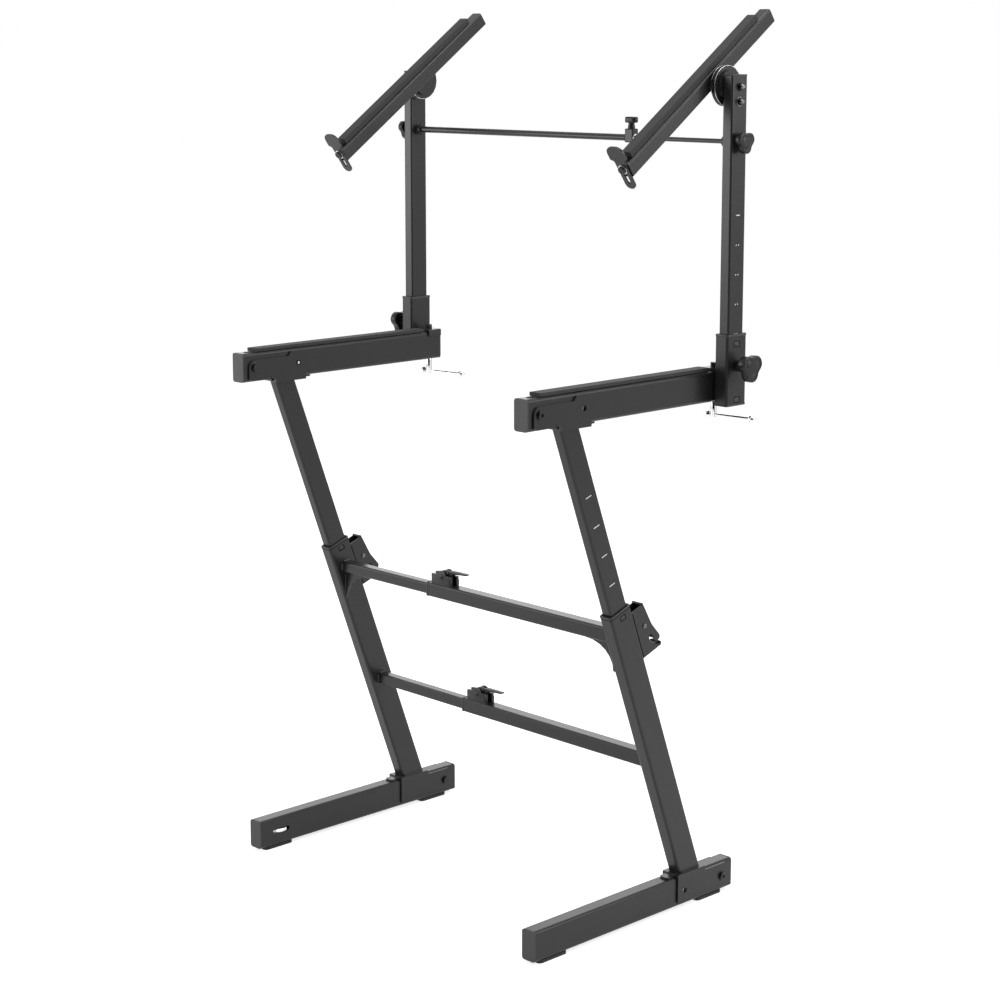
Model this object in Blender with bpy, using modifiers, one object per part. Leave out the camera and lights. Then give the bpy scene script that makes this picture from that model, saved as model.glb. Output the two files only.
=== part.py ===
"""Two-tier folding keyboard stand.

Two side frames of rectangular tube carry a foot, a telescoping leg and an arm each, and are joined by
two telescoping cross braces. A second tier of posts, a cross rod and tilting arms clamps on the arms.
Metres, +Z up, +X to the stand's right, the player sits at -Y. The origin is on the floor under the middle.
"""
from math import ceil, cos, pi, radians, sin, tan

import bmesh
import bpy
from mathutils import Matrix, Vector

# Clearances
FIT = 0.0003                 # between pieces that touch or run in each other
EMBED = 0.001                # how far welded shapes reach into each other
OVERCUT = 0.004              # how far a cutting shape reaches past a face

# Frame
FRAME_SPACING = 0.6874       # between the middle planes of the side frames
FOOT_FRONT = -0.2655
FOOT_LENGTH = 0.469
ARM_LENGTH = 0.453
ARM_REACH = 0.0953           # from the leg's top to the arm's front end
TUBE_WIDTH = 0.0282          # feet and arms
TUBE_HEIGHT = 0.050
TUBE_WALL = 0.002
TUBE_ROUND = 0.0045
CAP_LIP = 0.003
CAP_DEPTH = 0.014
PAD_HEIGHT = 0.0052
PAD_LENGTH = 0.062
PAD_WIDTH = 0.025
FRONT_PAD_INSET = 0.013
REAR_PAD_INSET = 0.022
ARM_RUBBER_HEIGHT = 0.0062
ARM_RUBBER_GAP = 0.012       # ahead of the second tier's hook
ARM_RUBBER_WIDTH = 0.0235
ARM_RUBBER_INSET = 0.030

# Legs
LEAN = radians(20.34)
LEG_SEAT = 0.3645            # from the foot's front end to the leg's middle at the web
LEG_DEPTH = 0.048
LEG_WIDTH = 0.025
LEG_LENGTH = 0.503           # up to the collar's top
UPPER_DEPTH = 0.039
UPPER_WIDTH = 0.0203
UPPER_OUT = 0.3247           # drawn out of the collar
UPPER_IN = 0.160             # left inside the lower leg
UPPER_WALL = 0.0018
LEG_ROUND = 0.004
COLLAR_LIP = 0.004
COLLAR_DEPTH = 0.022
INDEX_PITCH = 0.0524
INDEX_HOLES = 7
INDEX_HOLE_WIDTH = 0.0085
INDEX_HOLE_HEIGHT = 0.014

# Folding brackets
CHEEK = 0.003
WEB = 0.005
WEB_LENGTH = 0.065
BRACKET_FRONT = 0.1105       # ahead of the hinge bolt
BRACKET_ROUND = 0.013        # round the hinge bolt
BRACKET_SHOULDER = 0.0025    # cheek top behind the web, under the tube's top
BRACKET_LIP = 0.0045         # cheek's front bottom corner above the tube's underside
FOOT_HINGE = 0.0765          # behind the leg's middle
ARM_HINGE = 0.0710           # ahead of the leg's middle
HINGE_RISE = 0.0005
SNAP_SPACING = 0.094
HINGE_BOLT_RADIUS = 0.004
HINGE_HEAD_RADIUS = 0.007
HINGE_HEAD_HEIGHT = 0.004
HEX_SOCKET_RADIUS = 0.0027
HEX_SOCKET_DEPTH = 0.0022
SNAP_RADIUS = 0.0045
SNAP_FLANGE_RADIUS = 0.0065
SNAP_DEPTH = 0.005
TONGUE_LENGTH = 0.018
TONGUE_WIDTH = 0.018
TONGUE_HEIGHT = 0.003

# Lock housing and lever on the back of the lower leg
HOUSING_TOP = 0.017          # under the collar's top
HOUSING_BACK = 0.052         # behind the leg's middle, at the housing's top
HOUSING_BEND = 0.0588
HOUSING_BEND_DOWN = 0.0574
HOUSING_LIP = 0.069
HOUSING_BOTTOM = 0.1015
HOUSING_WIDTH = 0.022
HOUSING_WALL = 0.0025
LOCK_PIN_DOWN = 0.052
LOCK_PIN_BACK = 0.043        # behind the leg's middle
LOCK_PIN_RADIUS = 0.003
LOCK_PIN_END = 0.0012        # past each side plate
LOCK_BOSS_RADIUS = 0.0075
LOCK_NOSE_RISE = 0.015       # nose above the pin
LOCK_NOSE_HEIGHT = 0.010
LOCK_NOSE_WIDTH = 0.008
NOSE_WINDOW_MARGIN = 0.005   # round the nose, which rises as it swings back

# Levelling wheel
WHEEL_RADIUS = 0.018
WHEEL_THICKNESS = 0.006
WHEEL_PLACE = 0.0475         # behind the foot's front end
WHEEL_STEM_RADIUS = 0.004
WHEEL_SLOT_LENGTH = 0.036
WHEEL_SLOT_HEIGHT = 0.0085

# Cross braces
BRACE_OUTER = 0.0245
BRACE_INNER = 0.0195
BRACE_WALL = 0.002
BRACE_ROUND = 0.003
UPPER_BRACE_DROP = 0.0486    # under the collar's top, along the leg
LOWER_BRACE_UP = 0.2157      # above the web, along the leg
BRACE_MOUTH = -0.102         # where the outer tubes end
BRACE_INNER_END = 0.130
GUSSET_LENGTH = 0.063
GUSSET_DROP = 0.048
GUSSET_THICKNESS = 0.004
GUSSET_TIP = 0.003

# Cam clamps on the braces
CLAMP_START = -0.093
CLAMP_LENGTH = 0.048
CLAMP_WIDTH = 0.019
CLAMP_HEIGHT = 0.017
CLAMP_SLOT = 0.0092
CLAMP_END_WALL = 0.0105
CAM_PIN = 0.025              # from the block's start
CAM_PIN_RISE = 0.013
CAM_PIN_RADIUS = 0.0025
CAM_RADIUS = 0.012
CAM_TAIL = 0.056             # from the pin to the lever's tip
CAM_TAIL_RISE = 0.0125
CAM_TAIL_THICKNESS = 0.005

# Second tier: sleeve and clamp
CLAMP_PLATE = 0.0065
SLEEVE_WIDTH = 0.0264
SLEEVE_DEPTH = 0.0474
SLEEVE_WALL = 0.002
SLEEVE_ROUND = 0.004
SLEEVE_INSET = 0.014         # ahead of the arm's rear end
SLEEVE_DROP = 0.027          # under the arm's middle
SLEEVE_RISE = 0.084
HOOK_DEPTH = 0.029
HOOK_WALL = 0.004
HOOK_LIP = 0.012
HOOK_LIP_WALL = 0.003
CLAMP_SCREW_RADIUS = 0.005
CLAMP_SCREW_LENGTH = 0.029   # under the arm
CLAMP_THREAD_RADIUS = 0.003
CLAMP_NUT_RADIUS = 0.0062
CLAMP_NUT_HEIGHT = 0.008
CLAMP_NUT_BORE = 0.006       # depth of the thread in the nut
BAR_RADIUS = 0.0027
BAR_SPAN = 0.0845
BALL_RADIUS = 0.0065
BAR_DROP = 0.0240            # under the arm's underside
RIGHT_BAR_TURN = radians(6.8)
LEFT_BAR_TURN = radians(10.6)
BAR_STOP = 0.011             # ball centre to screw axis at the end of the slide

# Posts, knobs and cross rod
POST_WIDTH = 0.020
POST_DEPTH = 0.0365
POST_WALL = 0.0018
POST_ROUND = 0.003
POST_TOP = 0.4949            # above the arm's middle
POST_IN = 0.063              # inside the sleeve
POST_KNOB_RISE = 0.0359      # above the arm's middle
POST_KNOB_RADIUS = 0.024
POST_KNOB_HUB = 0.020
POST_KNOB_THICKNESS = 0.014
ROD_RISE = 0.3919
ROD_KNOB_RADIUS = 0.0185
ROD_KNOB_HUB = 0.006
ROD_KNOB_THICKNESS = 0.011
KNOB_SCREW_RADIUS = 0.004
KNOB_LOBE = 0.28             # lobe depth as a share of the knob's radius
ROD_OUTER_RADIUS = 0.0055
ROD_BORE_RADIUS = 0.0043
ROD_INNER_RADIUS = 0.0038
ROD_END_RADIUS = 0.009
ROD_END_LENGTH = 0.010
BLOCK_START = 0.148
BLOCK_LENGTH = 0.018
BLOCK_HEIGHT = 0.023
BLOCK_DEPTH = 0.0145
BLOCK_RAISE = 0.0035
ROD_INNER_END = -0.090
WING_SCREW_RADIUS = 0.003
WING_STEM_RADIUS = 0.0065
WING_STEM_HEIGHT = 0.009
WING_SPAN = 0.024
WING_HEIGHT = 0.010
WING_THICKNESS = 0.0085

# Tilt joint and tilt arms
PIVOT_RISE = 0.4789
PIVOT_PIN_RADIUS = 0.005
DISC_RADIUS = 0.032
DISC_STEP_RADIUS = 0.025
TILT_GAP = 0.0181            # between the post and the tilt arm
TILT = radians(35.4)
TILT_LENGTH = 0.406
TILT_HEIGHT = 0.0246
TILT_WIDTH = 0.0231
TILT_WALL = 0.0018
TILT_ROUND = 0.003
TILT_FRONT = 0.243           # arm's front end ahead of the pivot, along the arm
TILT_RAISE = 0.019           # arm's middle above the pivot, square to the arm
TILT_RUBBER_HEIGHT = 0.0107
TILT_RUBBER_WIDTH = 0.020
TILT_RUBBER_FRONT = 0.015
TILT_RUBBER_REAR = 0.030
STOP_CENTRE = 0.337
STOP_TOP = 0.033             # over the arm's top
STOP_BOTTOM = 0.046          # under the arm's top
STOP_LOBE_WIDTH = 0.034
STOP_LOBE_FOOT = 0.008       # the wide lobe ends this far over the arm's top
STOP_WIDTH = 0.020
STOP_THICKNESS = 0.003
STOP_BOLT_DOWN = 0.009
STOP_BOLT_RADIUS = 0.003
STOP_BOLT_HEAD = 0.0065
STOP_BOLT_HEAD_HEIGHT = 0.004
STOP_SLOT_LENGTH = 0.030
STOP_ROUND = 0.009

# Roundness
CORNER_STEPS = 3
ROUND_STEPS = 18
KNOB_STEPS = 30
PIN_STEPS = 12
KNOB_LOBES = 3

# Heights and places that follow
FRAME_HALF = FRAME_SPACING / 2
FOOT_MID = PAD_HEIGHT + FIT + TUBE_HEIGHT / 2
WEB_UNDER = PAD_HEIGHT + FIT + TUBE_HEIGHT + FIT
LEG_SEAT_Y = FOOT_FRONT + LEG_SEAT
LEG_SEAT_Z = WEB_UNDER + WEB
LEG_UP = Vector((0, -sin(LEAN), cos(LEAN)))
LEG_BACK = Vector((0, cos(LEAN), sin(LEAN)))
LEG_SEAT_POINT = Vector((0, LEG_SEAT_Y, LEG_SEAT_Z))
LEG_TOP_POINT = LEG_SEAT_POINT + LEG_UP * (LEG_LENGTH + UPPER_OUT)
ARM_FRONT = LEG_TOP_POINT.y - ARM_REACH
ARM_MID = LEG_TOP_POINT.z + WEB + FIT + TUBE_HEIGHT / 2
FOOT_HINGE_POINT = Vector((0, LEG_SEAT_Y + FOOT_HINGE, FOOT_MID + HINGE_RISE))
ARM_HINGE_POINT = Vector((0, LEG_TOP_POINT.y - ARM_HINGE, ARM_MID - HINGE_RISE))
UPPER_BRACE_UP = LEG_LENGTH - UPPER_BRACE_DROP
CHANNEL_HALF = TUBE_WIDTH / 2 + FIT
BRACKET_HALF = CHANNEL_HALF + CHEEK
LEG_FACE = FRAME_HALF - LEG_WIDTH / 2
SLEEVE_X = FRAME_HALF + TUBE_WIDTH / 2 + FIT + CLAMP_PLATE + SLEEVE_WIDTH / 2
SLEEVE_Y = ARM_FRONT + ARM_LENGTH - SLEEVE_INSET
SLEEVE_TOP = ARM_MID + SLEEVE_RISE
ARM_UNDER = ARM_MID - TUBE_HEIGHT / 2
ARM_TOP = ARM_MID + TUBE_HEIGHT / 2
HOOK_UNDER = ARM_TOP + FIT
HOOK_TOP = HOOK_UNDER + HOOK_WALL
ROD_Z = ARM_MID + ROD_RISE
PIVOT_Z = ARM_MID + PIVOT_RISE
TILT_ALONG = Vector((0, cos(TILT), sin(TILT)))
TILT_UP = Vector((0, -sin(TILT), cos(TILT)))
TILT_X = SLEEVE_X - POST_WIDTH / 2 - TILT_GAP - TILT_WIDTH / 2
SIDES = (("right", 1), ("left", -1))


def clear_scene():
    """Remove what the scene holds."""
    for thing in list(bpy.data.objects):
        bpy.data.objects.remove(thing, do_unlink=True)


def make_collection(name):
    """A collection for the parts or for the cutters."""
    group = bpy.data.collections.new(name)
    bpy.context.scene.collection.children.link(group)
    return group


def make_material(name, colour, roughness, metallic):
    """A plain surface."""
    surface = bpy.data.materials.new(name)
    surface.use_nodes = True
    shader = surface.node_tree.nodes["Principled BSDF"]
    shader.inputs["Base Color"].default_value = (*colour, 1)
    shader.inputs["Roughness"].default_value = roughness
    shader.inputs["Metallic"].default_value = metallic
    return surface


def make_materials():
    """The stand's surfaces."""
    return {
        "steel": make_material("black_powder_coat", (0.018, 0.018, 0.019), 0.42, 0.0),
        "plastic": make_material("black_plastic", (0.015, 0.015, 0.016), 0.5, 0.0),
        "rubber": make_material("black_rubber", (0.02, 0.02, 0.02), 0.8, 0.0),
        "chrome": make_material("chrome", (0.75, 0.75, 0.76), 0.12, 1.0),
        "bolt": make_material("black_bolt", (0.03, 0.03, 0.032), 0.35, 0.8),
    }


def link_mesh(name, mesh, group):
    """An object for a mesh, in one collection."""
    thing = bpy.data.objects.new(name, mesh)
    group.objects.link(thing)
    return thing


def as_mesh(thing, group):
    """The evaluated shape of an object as a plain, closed mesh in its place."""
    bpy.context.view_layer.update()
    evaluated = thing.evaluated_get(bpy.context.evaluated_depsgraph_get())
    mesh = bpy.data.meshes.new_from_object(evaluated)
    shape = bmesh.new()
    shape.from_mesh(mesh)
    bmesh.ops.transform(shape, matrix=thing.matrix_world, verts=shape.verts)
    bmesh.ops.remove_doubles(shape, verts=shape.verts, dist=0.00001)
    bmesh.ops.recalc_face_normals(shape, faces=shape.faces)
    shape.to_mesh(mesh)
    shape.free()
    name = thing.name
    bpy.data.objects.remove(thing, do_unlink=True)
    return link_mesh(name, mesh, group)


def frame_matrix(origin, across, up):
    """A frame at a point, whose local X and Y are two given directions."""
    along = across.cross(up)
    placed = Matrix((across, up, along)).transposed().to_4x4()
    placed.translation = origin
    return placed


def side_view(x):
    """Outline points are (y, z), in the plane at x."""
    return frame_matrix(Vector((x, 0, 0)), Vector((0, 1, 0)), Vector((0, 0, 1)))


def front_view(y):
    """Outline points are (x, z), in the plane at y."""
    return frame_matrix(Vector((0, y, 0)), Vector((1, 0, 0)), Vector((0, 0, 1)))


def plan_view(z):
    """Outline points are (x, y), in the plane at z."""
    return frame_matrix(Vector((0, 0, z)), Vector((1, 0, 0)), Vector((0, 1, 0)))


def leg_section(x, up):
    """Outline points are (back, across) square to the leg, at a height along it."""
    origin = LEG_SEAT_POINT + LEG_UP * up + Vector((x, 0, 0))
    return frame_matrix(origin, LEG_BACK, Vector((-1, 0, 0)))


def leg_side_view(x):
    """Outline points are (back, up) from the middle of the collar's top."""
    origin = LEG_SEAT_POINT + LEG_UP * LEG_LENGTH + Vector((x, 0, 0))
    return frame_matrix(origin, LEG_BACK, LEG_UP)


def leg_point(x, up, back):
    """A point of the leg, from the middle of the collar's top."""
    return LEG_SEAT_POINT + LEG_UP * (LEG_LENGTH + up) + LEG_BACK * back + Vector((x, 0, 0))


def rounded(corners):
    """The points of a closed outline, with each corner (u, v, radius) rounded by an arc."""
    points = []
    count = len(corners)
    for index, (u, v, radius) in enumerate(corners):
        here = Vector((u, v))
        if radius == 0:
            points.append(here)
            continue
        before = Vector(corners[index - 1][:2]) - here
        after = Vector(corners[(index + 1) % count][:2]) - here
        before.normalize()
        after.normalize()
        opening = before.angle(after)
        middle = here + (before + after).normalized() * radius / sin(opening / 2)
        reach = radius / tan(opening / 2)
        start = here + before * reach - middle
        sweep = start.angle_signed(here + after * reach - middle)
        steps = max(1, ceil(abs(sweep) / (pi / 2) * CORNER_STEPS))
        for step in range(steps + 1):
            points.append(middle + Matrix.Rotation(-sweep * step / steps, 2) @ start)
    return points


def rectangle(width, height, radius, middle=(0, 0)):
    """A rounded rectangle."""
    u, v = middle
    half_u = width / 2
    half_v = height / 2
    return rounded([
        (u - half_u, v - half_v, radius),
        (u + half_u, v - half_v, radius),
        (u + half_u, v + half_v, radius),
        (u - half_u, v + half_v, radius),
    ])


def circle(radius, middle=(0, 0), steps=ROUND_STEPS):
    """A round outline."""
    turns = [2 * pi * step / steps for step in range(steps)]
    return [Vector((middle[0] + radius * cos(turn), middle[1] + radius * sin(turn))) for turn in turns]


def prism(name, outlines, thickness, matrix, group):
    """A flat outline, with any holes in it, extruded both ways from its plane."""
    curve = bpy.data.curves.new(name, "CURVE")
    curve.dimensions = "2D"
    curve.fill_mode = "BOTH"
    curve.extrude = thickness / 2
    for outline in outlines:
        spline = curve.splines.new("POLY")
        spline.points.add(len(outline) - 1)
        spline.use_cyclic_u = True
        for point, (u, v) in zip(spline.points, outline):
            point.co = (u, v, 0, 1)
    thing = bpy.data.objects.new(name, curve)
    group.objects.link(thing)
    thing.matrix_world = matrix
    return as_mesh(thing, group)


def tube(name, width, height, wall, radius, length, matrix, group):
    """A rectangular tube, open at both ends, centred on its frame's origin."""
    outer = rectangle(width, height, radius)
    inner = rectangle(width - 2 * wall, height - 2 * wall, radius - wall)
    return prism(name, [outer, inner], length, matrix, group)


def box(name, middle, size, group):
    """A plain block."""
    mesh = bpy.data.meshes.new(name)
    shape = bmesh.new()
    bmesh.ops.create_cube(shape, size=1)
    bmesh.ops.scale(shape, vec=size, verts=shape.verts)
    bmesh.ops.translate(shape, vec=middle, verts=shape.verts)
    shape.to_mesh(mesh)
    shape.free()
    return link_mesh(name, mesh, group)


def rod(name, start, end, radius, group, steps=ROUND_STEPS):
    """A round bar from one point to another."""
    run = Vector(end) - Vector(start)
    placed = run.to_track_quat("Z", "Y").to_matrix().to_4x4()
    placed.translation = (Vector(start) + Vector(end)) / 2
    mesh = bpy.data.meshes.new(name)
    shape = bmesh.new()
    bmesh.ops.create_cone(shape, cap_ends=True, segments=steps, radius1=radius, radius2=radius,
                          depth=run.length, matrix=placed)
    shape.to_mesh(mesh)
    shape.free()
    return link_mesh(name, mesh, group)


def ball(name, middle, radius, group):
    """A round ball."""
    mesh = bpy.data.meshes.new(name)
    shape = bmesh.new()
    bmesh.ops.create_uvsphere(shape, u_segments=16, v_segments=10, radius=radius,
                              matrix=Matrix.Translation(middle))
    shape.to_mesh(mesh)
    shape.free()
    return link_mesh(name, mesh, group)


def turned(name, profile, start, direction, group):
    """A profile of (radius, distance) turned about an axis through a point."""
    mesh = bpy.data.meshes.new(name)
    shape = bmesh.new()
    corners = [shape.verts.new((radius, 0, -distance)) for radius, distance in profile]
    for first, second in zip(corners, corners[1:]):
        shape.edges.new((first, second))
    shape.to_mesh(mesh)
    shape.free()
    thing = link_mesh(name, mesh, group)
    screw = thing.modifiers.new("Turn", "SCREW")
    screw.steps = ROUND_STEPS
    screw.render_steps = ROUND_STEPS
    screw.use_merge_vertices = True
    screw.merge_threshold = 0.00001
    placed = Vector(direction).to_track_quat("-Z", "Y").to_matrix().to_4x4()
    placed.translation = start
    thing.matrix_world = placed
    return as_mesh(thing, group)


def combine(body, operation, tools):
    """Boolean modifiers that join shapes to a body or cut them from it."""
    for tool in tools:
        change = body.modifiers.new(operation.title(), "BOOLEAN")
        change.operation = operation
        change.solver = "EXACT"
        change.object = tool
        tool.hide_render = True
        tool.display_type = "WIRE"
    return body


def join(body, *tools):
    """Weld shapes to a body."""
    return combine(body, "UNION", tools)


def cut(body, *tools):
    """Cut shapes from a body."""
    return combine(body, "DIFFERENCE", tools)


def finish(thing, surface, origin=None):
    """Give a part its surface and shading, and its origin on its joint's axis."""
    thing.data.materials.clear()
    thing.data.materials.append(surface)
    thing.data.shade_smooth()
    thing.data.set_sharp_from_angle(angle=radians(30))
    if origin is not None:
        thing.data.transform(Matrix.Translation(-Vector(origin)))
        thing.location = origin
    return thing


def at_side(side, point, offset=0):
    """A point of the right-hand frame's middle plane, moved outwards and put on one side."""
    return Vector((side * (FRAME_HALF + offset), point.y, point.z))


def across(side, point, inner, outer):
    """Two points on a line along X, measured outwards from a side frame's middle plane."""
    return at_side(side, point, inner), at_side(side, point, outer)


def level_tube(name, x, front, length, middle, parts):
    """A foot's or arm's tube, along Y."""
    section = frame_matrix(Vector((x, front + length / 2, middle)), Vector((1, 0, 0)), Vector((0, 0, 1)))
    return tube(name, TUBE_WIDTH, TUBE_HEIGHT, TUBE_WALL, TUBE_ROUND, length, section, parts)


def tube_cap(name, x, end, inwards, middle, materials, parts, cutters):
    """A plug with a flush lip for the end of a foot or an arm."""
    lip_middle = Vector((x, end + inwards * CAP_LIP / 2, middle))
    lip_frame = frame_matrix(lip_middle, Vector((1, 0, 0)), Vector((0, 0, 1)))
    lip = prism(name, [rectangle(TUBE_WIDTH, TUBE_HEIGHT, TUBE_ROUND)], CAP_LIP, lip_frame, parts)
    plug_width = TUBE_WIDTH - 2 * (TUBE_WALL + FIT)
    plug_height = TUBE_HEIGHT - 2 * (TUBE_WALL + FIT)
    plug_start = CAP_LIP - EMBED
    plug_length = CAP_DEPTH - plug_start
    plug_middle = Vector((x, end + inwards * (plug_start + plug_length / 2), middle))
    plug_frame = frame_matrix(plug_middle, Vector((1, 0, 0)), Vector((0, 0, 1)))
    plug_outline = rectangle(plug_width, plug_height, TUBE_ROUND - TUBE_WALL)
    plug = prism(name + "_plug", [plug_outline], plug_length, plug_frame, cutters)
    return finish(join(lip, plug), materials["plastic"])


def hinge_holes(name, side, point, radius, cutters):
    """A round cut across a side frame."""
    return rod(name, *across(side, point, -BRACKET_HALF - OVERCUT, BRACKET_HALF + OVERCUT), radius, cutters)


def snap_point(hinge, inwards):
    """Where the snap button sits, from the hinge bolt."""
    return hinge + Vector((0, inwards * SNAP_SPACING, 0))


def button_hole(name, side, point, cutters):
    """The hole for a snap button, through the outer wall only."""
    return rod(name, *across(side, point, 0, BRACKET_HALF + OVERCUT), SNAP_RADIUS + FIT, cutters)


def make_foot_tube(label, side, materials, parts, cutters):
    """The foot's tube, drilled for its hinge bolt and snap button."""
    x = side * FRAME_HALF
    start = FOOT_FRONT + CAP_LIP + FIT
    length = FOOT_LENGTH - 2 * (CAP_LIP + FIT)
    foot = level_tube(f"foot_tube_{label}", x, start, length, FOOT_MID, parts)
    cut(foot, hinge_holes(f"foot_bolt_hole_{label}", side, FOOT_HINGE_POINT, HINGE_BOLT_RADIUS + FIT, cutters),
        button_hole(f"foot_button_hole_{label}", side, snap_point(FOOT_HINGE_POINT, -1), cutters))
    if label == "left":
        cut(foot, *wheel_openings(x, cutters))
    return finish(foot, materials["steel"], at_side(side, FOOT_HINGE_POINT))


def wheel_openings(x, cutters):
    """The slot through both side walls for the levelling wheel, and the hole for its stem."""
    place = FOOT_FRONT + WHEEL_PLACE
    slot_outline = rectangle(WHEEL_SLOT_LENGTH + 2 * FIT, WHEEL_SLOT_HEIGHT, WHEEL_SLOT_HEIGHT * 0.49, (place, FOOT_MID))
    slot = prism("wheel_slot", [slot_outline], TUBE_WIDTH + 2 * OVERCUT, side_view(x), cutters)
    stem_top = FOOT_MID
    hole = rod("wheel_stem_hole", (x, place, stem_top), (x, place, 0), WHEEL_STEM_RADIUS + FIT, cutters)
    return slot, hole


def make_levelling_wheel(materials, parts, cutters):
    """The thumb wheel in the left foot, with the stem that stands on the pad."""
    middle = Vector((-FRAME_HALF, FOOT_FRONT + WHEEL_PLACE, FOOT_MID))
    half = Vector((0, 0, WHEEL_THICKNESS / 2))
    wheel = rod("levelling_wheel_left", middle - half, middle + half, WHEEL_RADIUS, parts, KNOB_STEPS)
    stem_foot = Vector((middle.x, middle.y, PAD_HEIGHT + FIT))
    stem = rod("levelling_stem", stem_foot, middle, WHEEL_STEM_RADIUS, cutters)
    return finish(join(wheel, stem), materials["chrome"], middle)


def make_pads(label, side, materials, parts):
    """The rubber pads under a foot."""
    x = side * FRAME_HALF
    front_middle = FOOT_FRONT + FRONT_PAD_INSET + PAD_LENGTH / 2
    rear_middle = FOOT_FRONT + FOOT_LENGTH - REAR_PAD_INSET - PAD_LENGTH / 2
    for place, middle in (("front", front_middle), ("rear", rear_middle)):
        outline = rectangle(PAD_WIDTH, PAD_LENGTH, PAD_WIDTH / 4, (x, middle))
        pad = prism(f"foot_{place}_pad_{label}", [outline], PAD_HEIGHT, plan_view(PAD_HEIGHT / 2), parts)
        finish(pad, materials["rubber"])


def bracket_outline(hinge, web_under, inwards, up):
    """A cheek's outline round the hinge bolt, mirrored for the arm; inwards and up are 1 or -1."""
    web_top = web_under + up * WEB
    front = hinge.y + inwards * BRACKET_FRONT
    web_back = front - inwards * WEB_LENGTH
    rear = hinge.y - inwards * BRACKET_ROUND
    shoulder = web_under - up * BRACKET_SHOULDER
    lip = hinge.z - up * (TUBE_HEIGHT / 2 + HINGE_RISE - BRACKET_LIP)
    belly = hinge.z - up * BRACKET_ROUND
    step = front - inwards * WEB_LENGTH / 2
    small = CHEEK
    return rounded([
        (front, web_top, 0),
        (front, lip, 2 * small),
        (step, lip, small),
        (step - inwards * 2 * small, belly, small),
        (rear, belly, BRACKET_ROUND - small / 4),
        (rear, shoulder, 2 * small),
        (web_back - inwards * small, shoulder, 0),
        (web_back, web_top, small / 2),
    ])


def bracket(label, side, hinge, web_under, inwards, up, cutters):
    """The folded bracket over a foot or under an arm: two cheeks, a web and a tongue."""
    x = side * FRAME_HALF
    outline = bracket_outline(hinge, web_under, inwards, up)
    body = prism(f"bracket_{label}", [outline], 2 * BRACKET_HALF, side_view(x), cutters)
    channel_size = (2 * CHANNEL_HALF, 4 * BRACKET_FRONT, TUBE_HEIGHT + 2 * OVERCUT)
    channel_middle = Vector((x, hinge.y, web_under - up * channel_size[2] / 2))
    cut(body, box(f"bracket_channel_{label}", channel_middle, channel_size, cutters))
    front = hinge.y + inwards * BRACKET_FRONT
    tongue_length = TONGUE_LENGTH + OVERCUT
    tongue_middle = (x, front + inwards * (TONGUE_LENGTH - OVERCUT) / 2)
    tongue_outline = rectangle(TONGUE_WIDTH, tongue_length, TONGUE_WIDTH / 4, tongue_middle)
    tongue_level = web_under + up * TONGUE_HEIGHT / 2
    tongue = prism(f"bracket_tongue_{label}", [tongue_outline], TONGUE_HEIGHT, plan_view(tongue_level), cutters)
    return join(body, tongue)


def bracket_holes(label, side, hinge, inwards, cutters):
    """Holes in the cheeks for the hinge bolt and the snap button."""
    return (hinge_holes(f"cheek_bolt_hole_{label}", side, hinge, HINGE_BOLT_RADIUS + FIT, cutters),
            button_hole(f"cheek_button_hole_{label}", side, snap_point(hinge, inwards), cutters))


def housing_outline():
    """The lock housing's side plates: a back edge, a hooked finger, a notch and a lower lip."""
    inner = LEG_DEPTH / 2 - EMBED
    return rounded([
        (inner, -HOUSING_TOP, 0),
        (HOUSING_BACK, -HOUSING_TOP, 0.003),
        (HOUSING_BEND, -HOUSING_BEND_DOWN, 0.020),
        (0.0722, -0.0900, 0.0060),
        (0.0570, -0.0908, 0.0055),
        (0.0535, -0.0720, 0.0035),
        (0.0455, -0.0735, 0.0035),
        (0.0468, -0.0845, 0.0060),
        (0.0575, -0.0955, 0.0060),
        (0.0655, -0.0985, 0.0020),
        (0.0670, -0.0955, 0.0008),
        (HOUSING_LIP, -0.0965, 0.0008),
        (0.0680, -HOUSING_BOTTOM, 0.0015),
        (inner, -HOUSING_BOTTOM, 0),
    ])


def housing_hollow():
    """The space between the side plates, under the back web and open at both ends."""
    wall = HOUSING_WALL
    return rounded([
        (LEG_DEPTH / 2 - 2 * EMBED, -HOUSING_TOP + OVERCUT, 0),
        (HOUSING_BACK - wall, -HOUSING_TOP + OVERCUT, 0),
        (HOUSING_BEND - wall, -HOUSING_BEND_DOWN, 0.020),
        (0.0674 - wall, -0.0800, 0.004),
        (0.0674 - wall, -0.0945, 0),
        (HOUSING_LIP + OVERCUT, -0.0945, 0),
        (HOUSING_LIP + OVERCUT, -HOUSING_BOTTOM - OVERCUT, 0),
        (LEG_DEPTH / 2 - 2 * EMBED, -HOUSING_BOTTOM - OVERCUT, 0),
    ])


def lock_housing(label, side, cutters):
    """The folded sheet housing welded to the leg's back, with the lever's pin across it."""
    view = leg_side_view(side * FRAME_HALF)
    housing = prism(f"housing_{label}", [housing_outline()], HOUSING_WIDTH, view, cutters)
    hollow_width = HOUSING_WIDTH - 2 * HOUSING_WALL
    cut(housing, prism(f"housing_hollow_{label}", [housing_hollow()], hollow_width, view, cutters))
    x = side * FRAME_HALF
    half = HOUSING_WIDTH / 2 + LOCK_PIN_END
    ends = [leg_point(x + offset, -LOCK_PIN_DOWN, LOCK_PIN_BACK) for offset in (-half, half)]
    return join(housing, rod(f"lock_pin_{label}", *ends, LOCK_PIN_RADIUS, cutters, PIN_STEPS))


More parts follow.
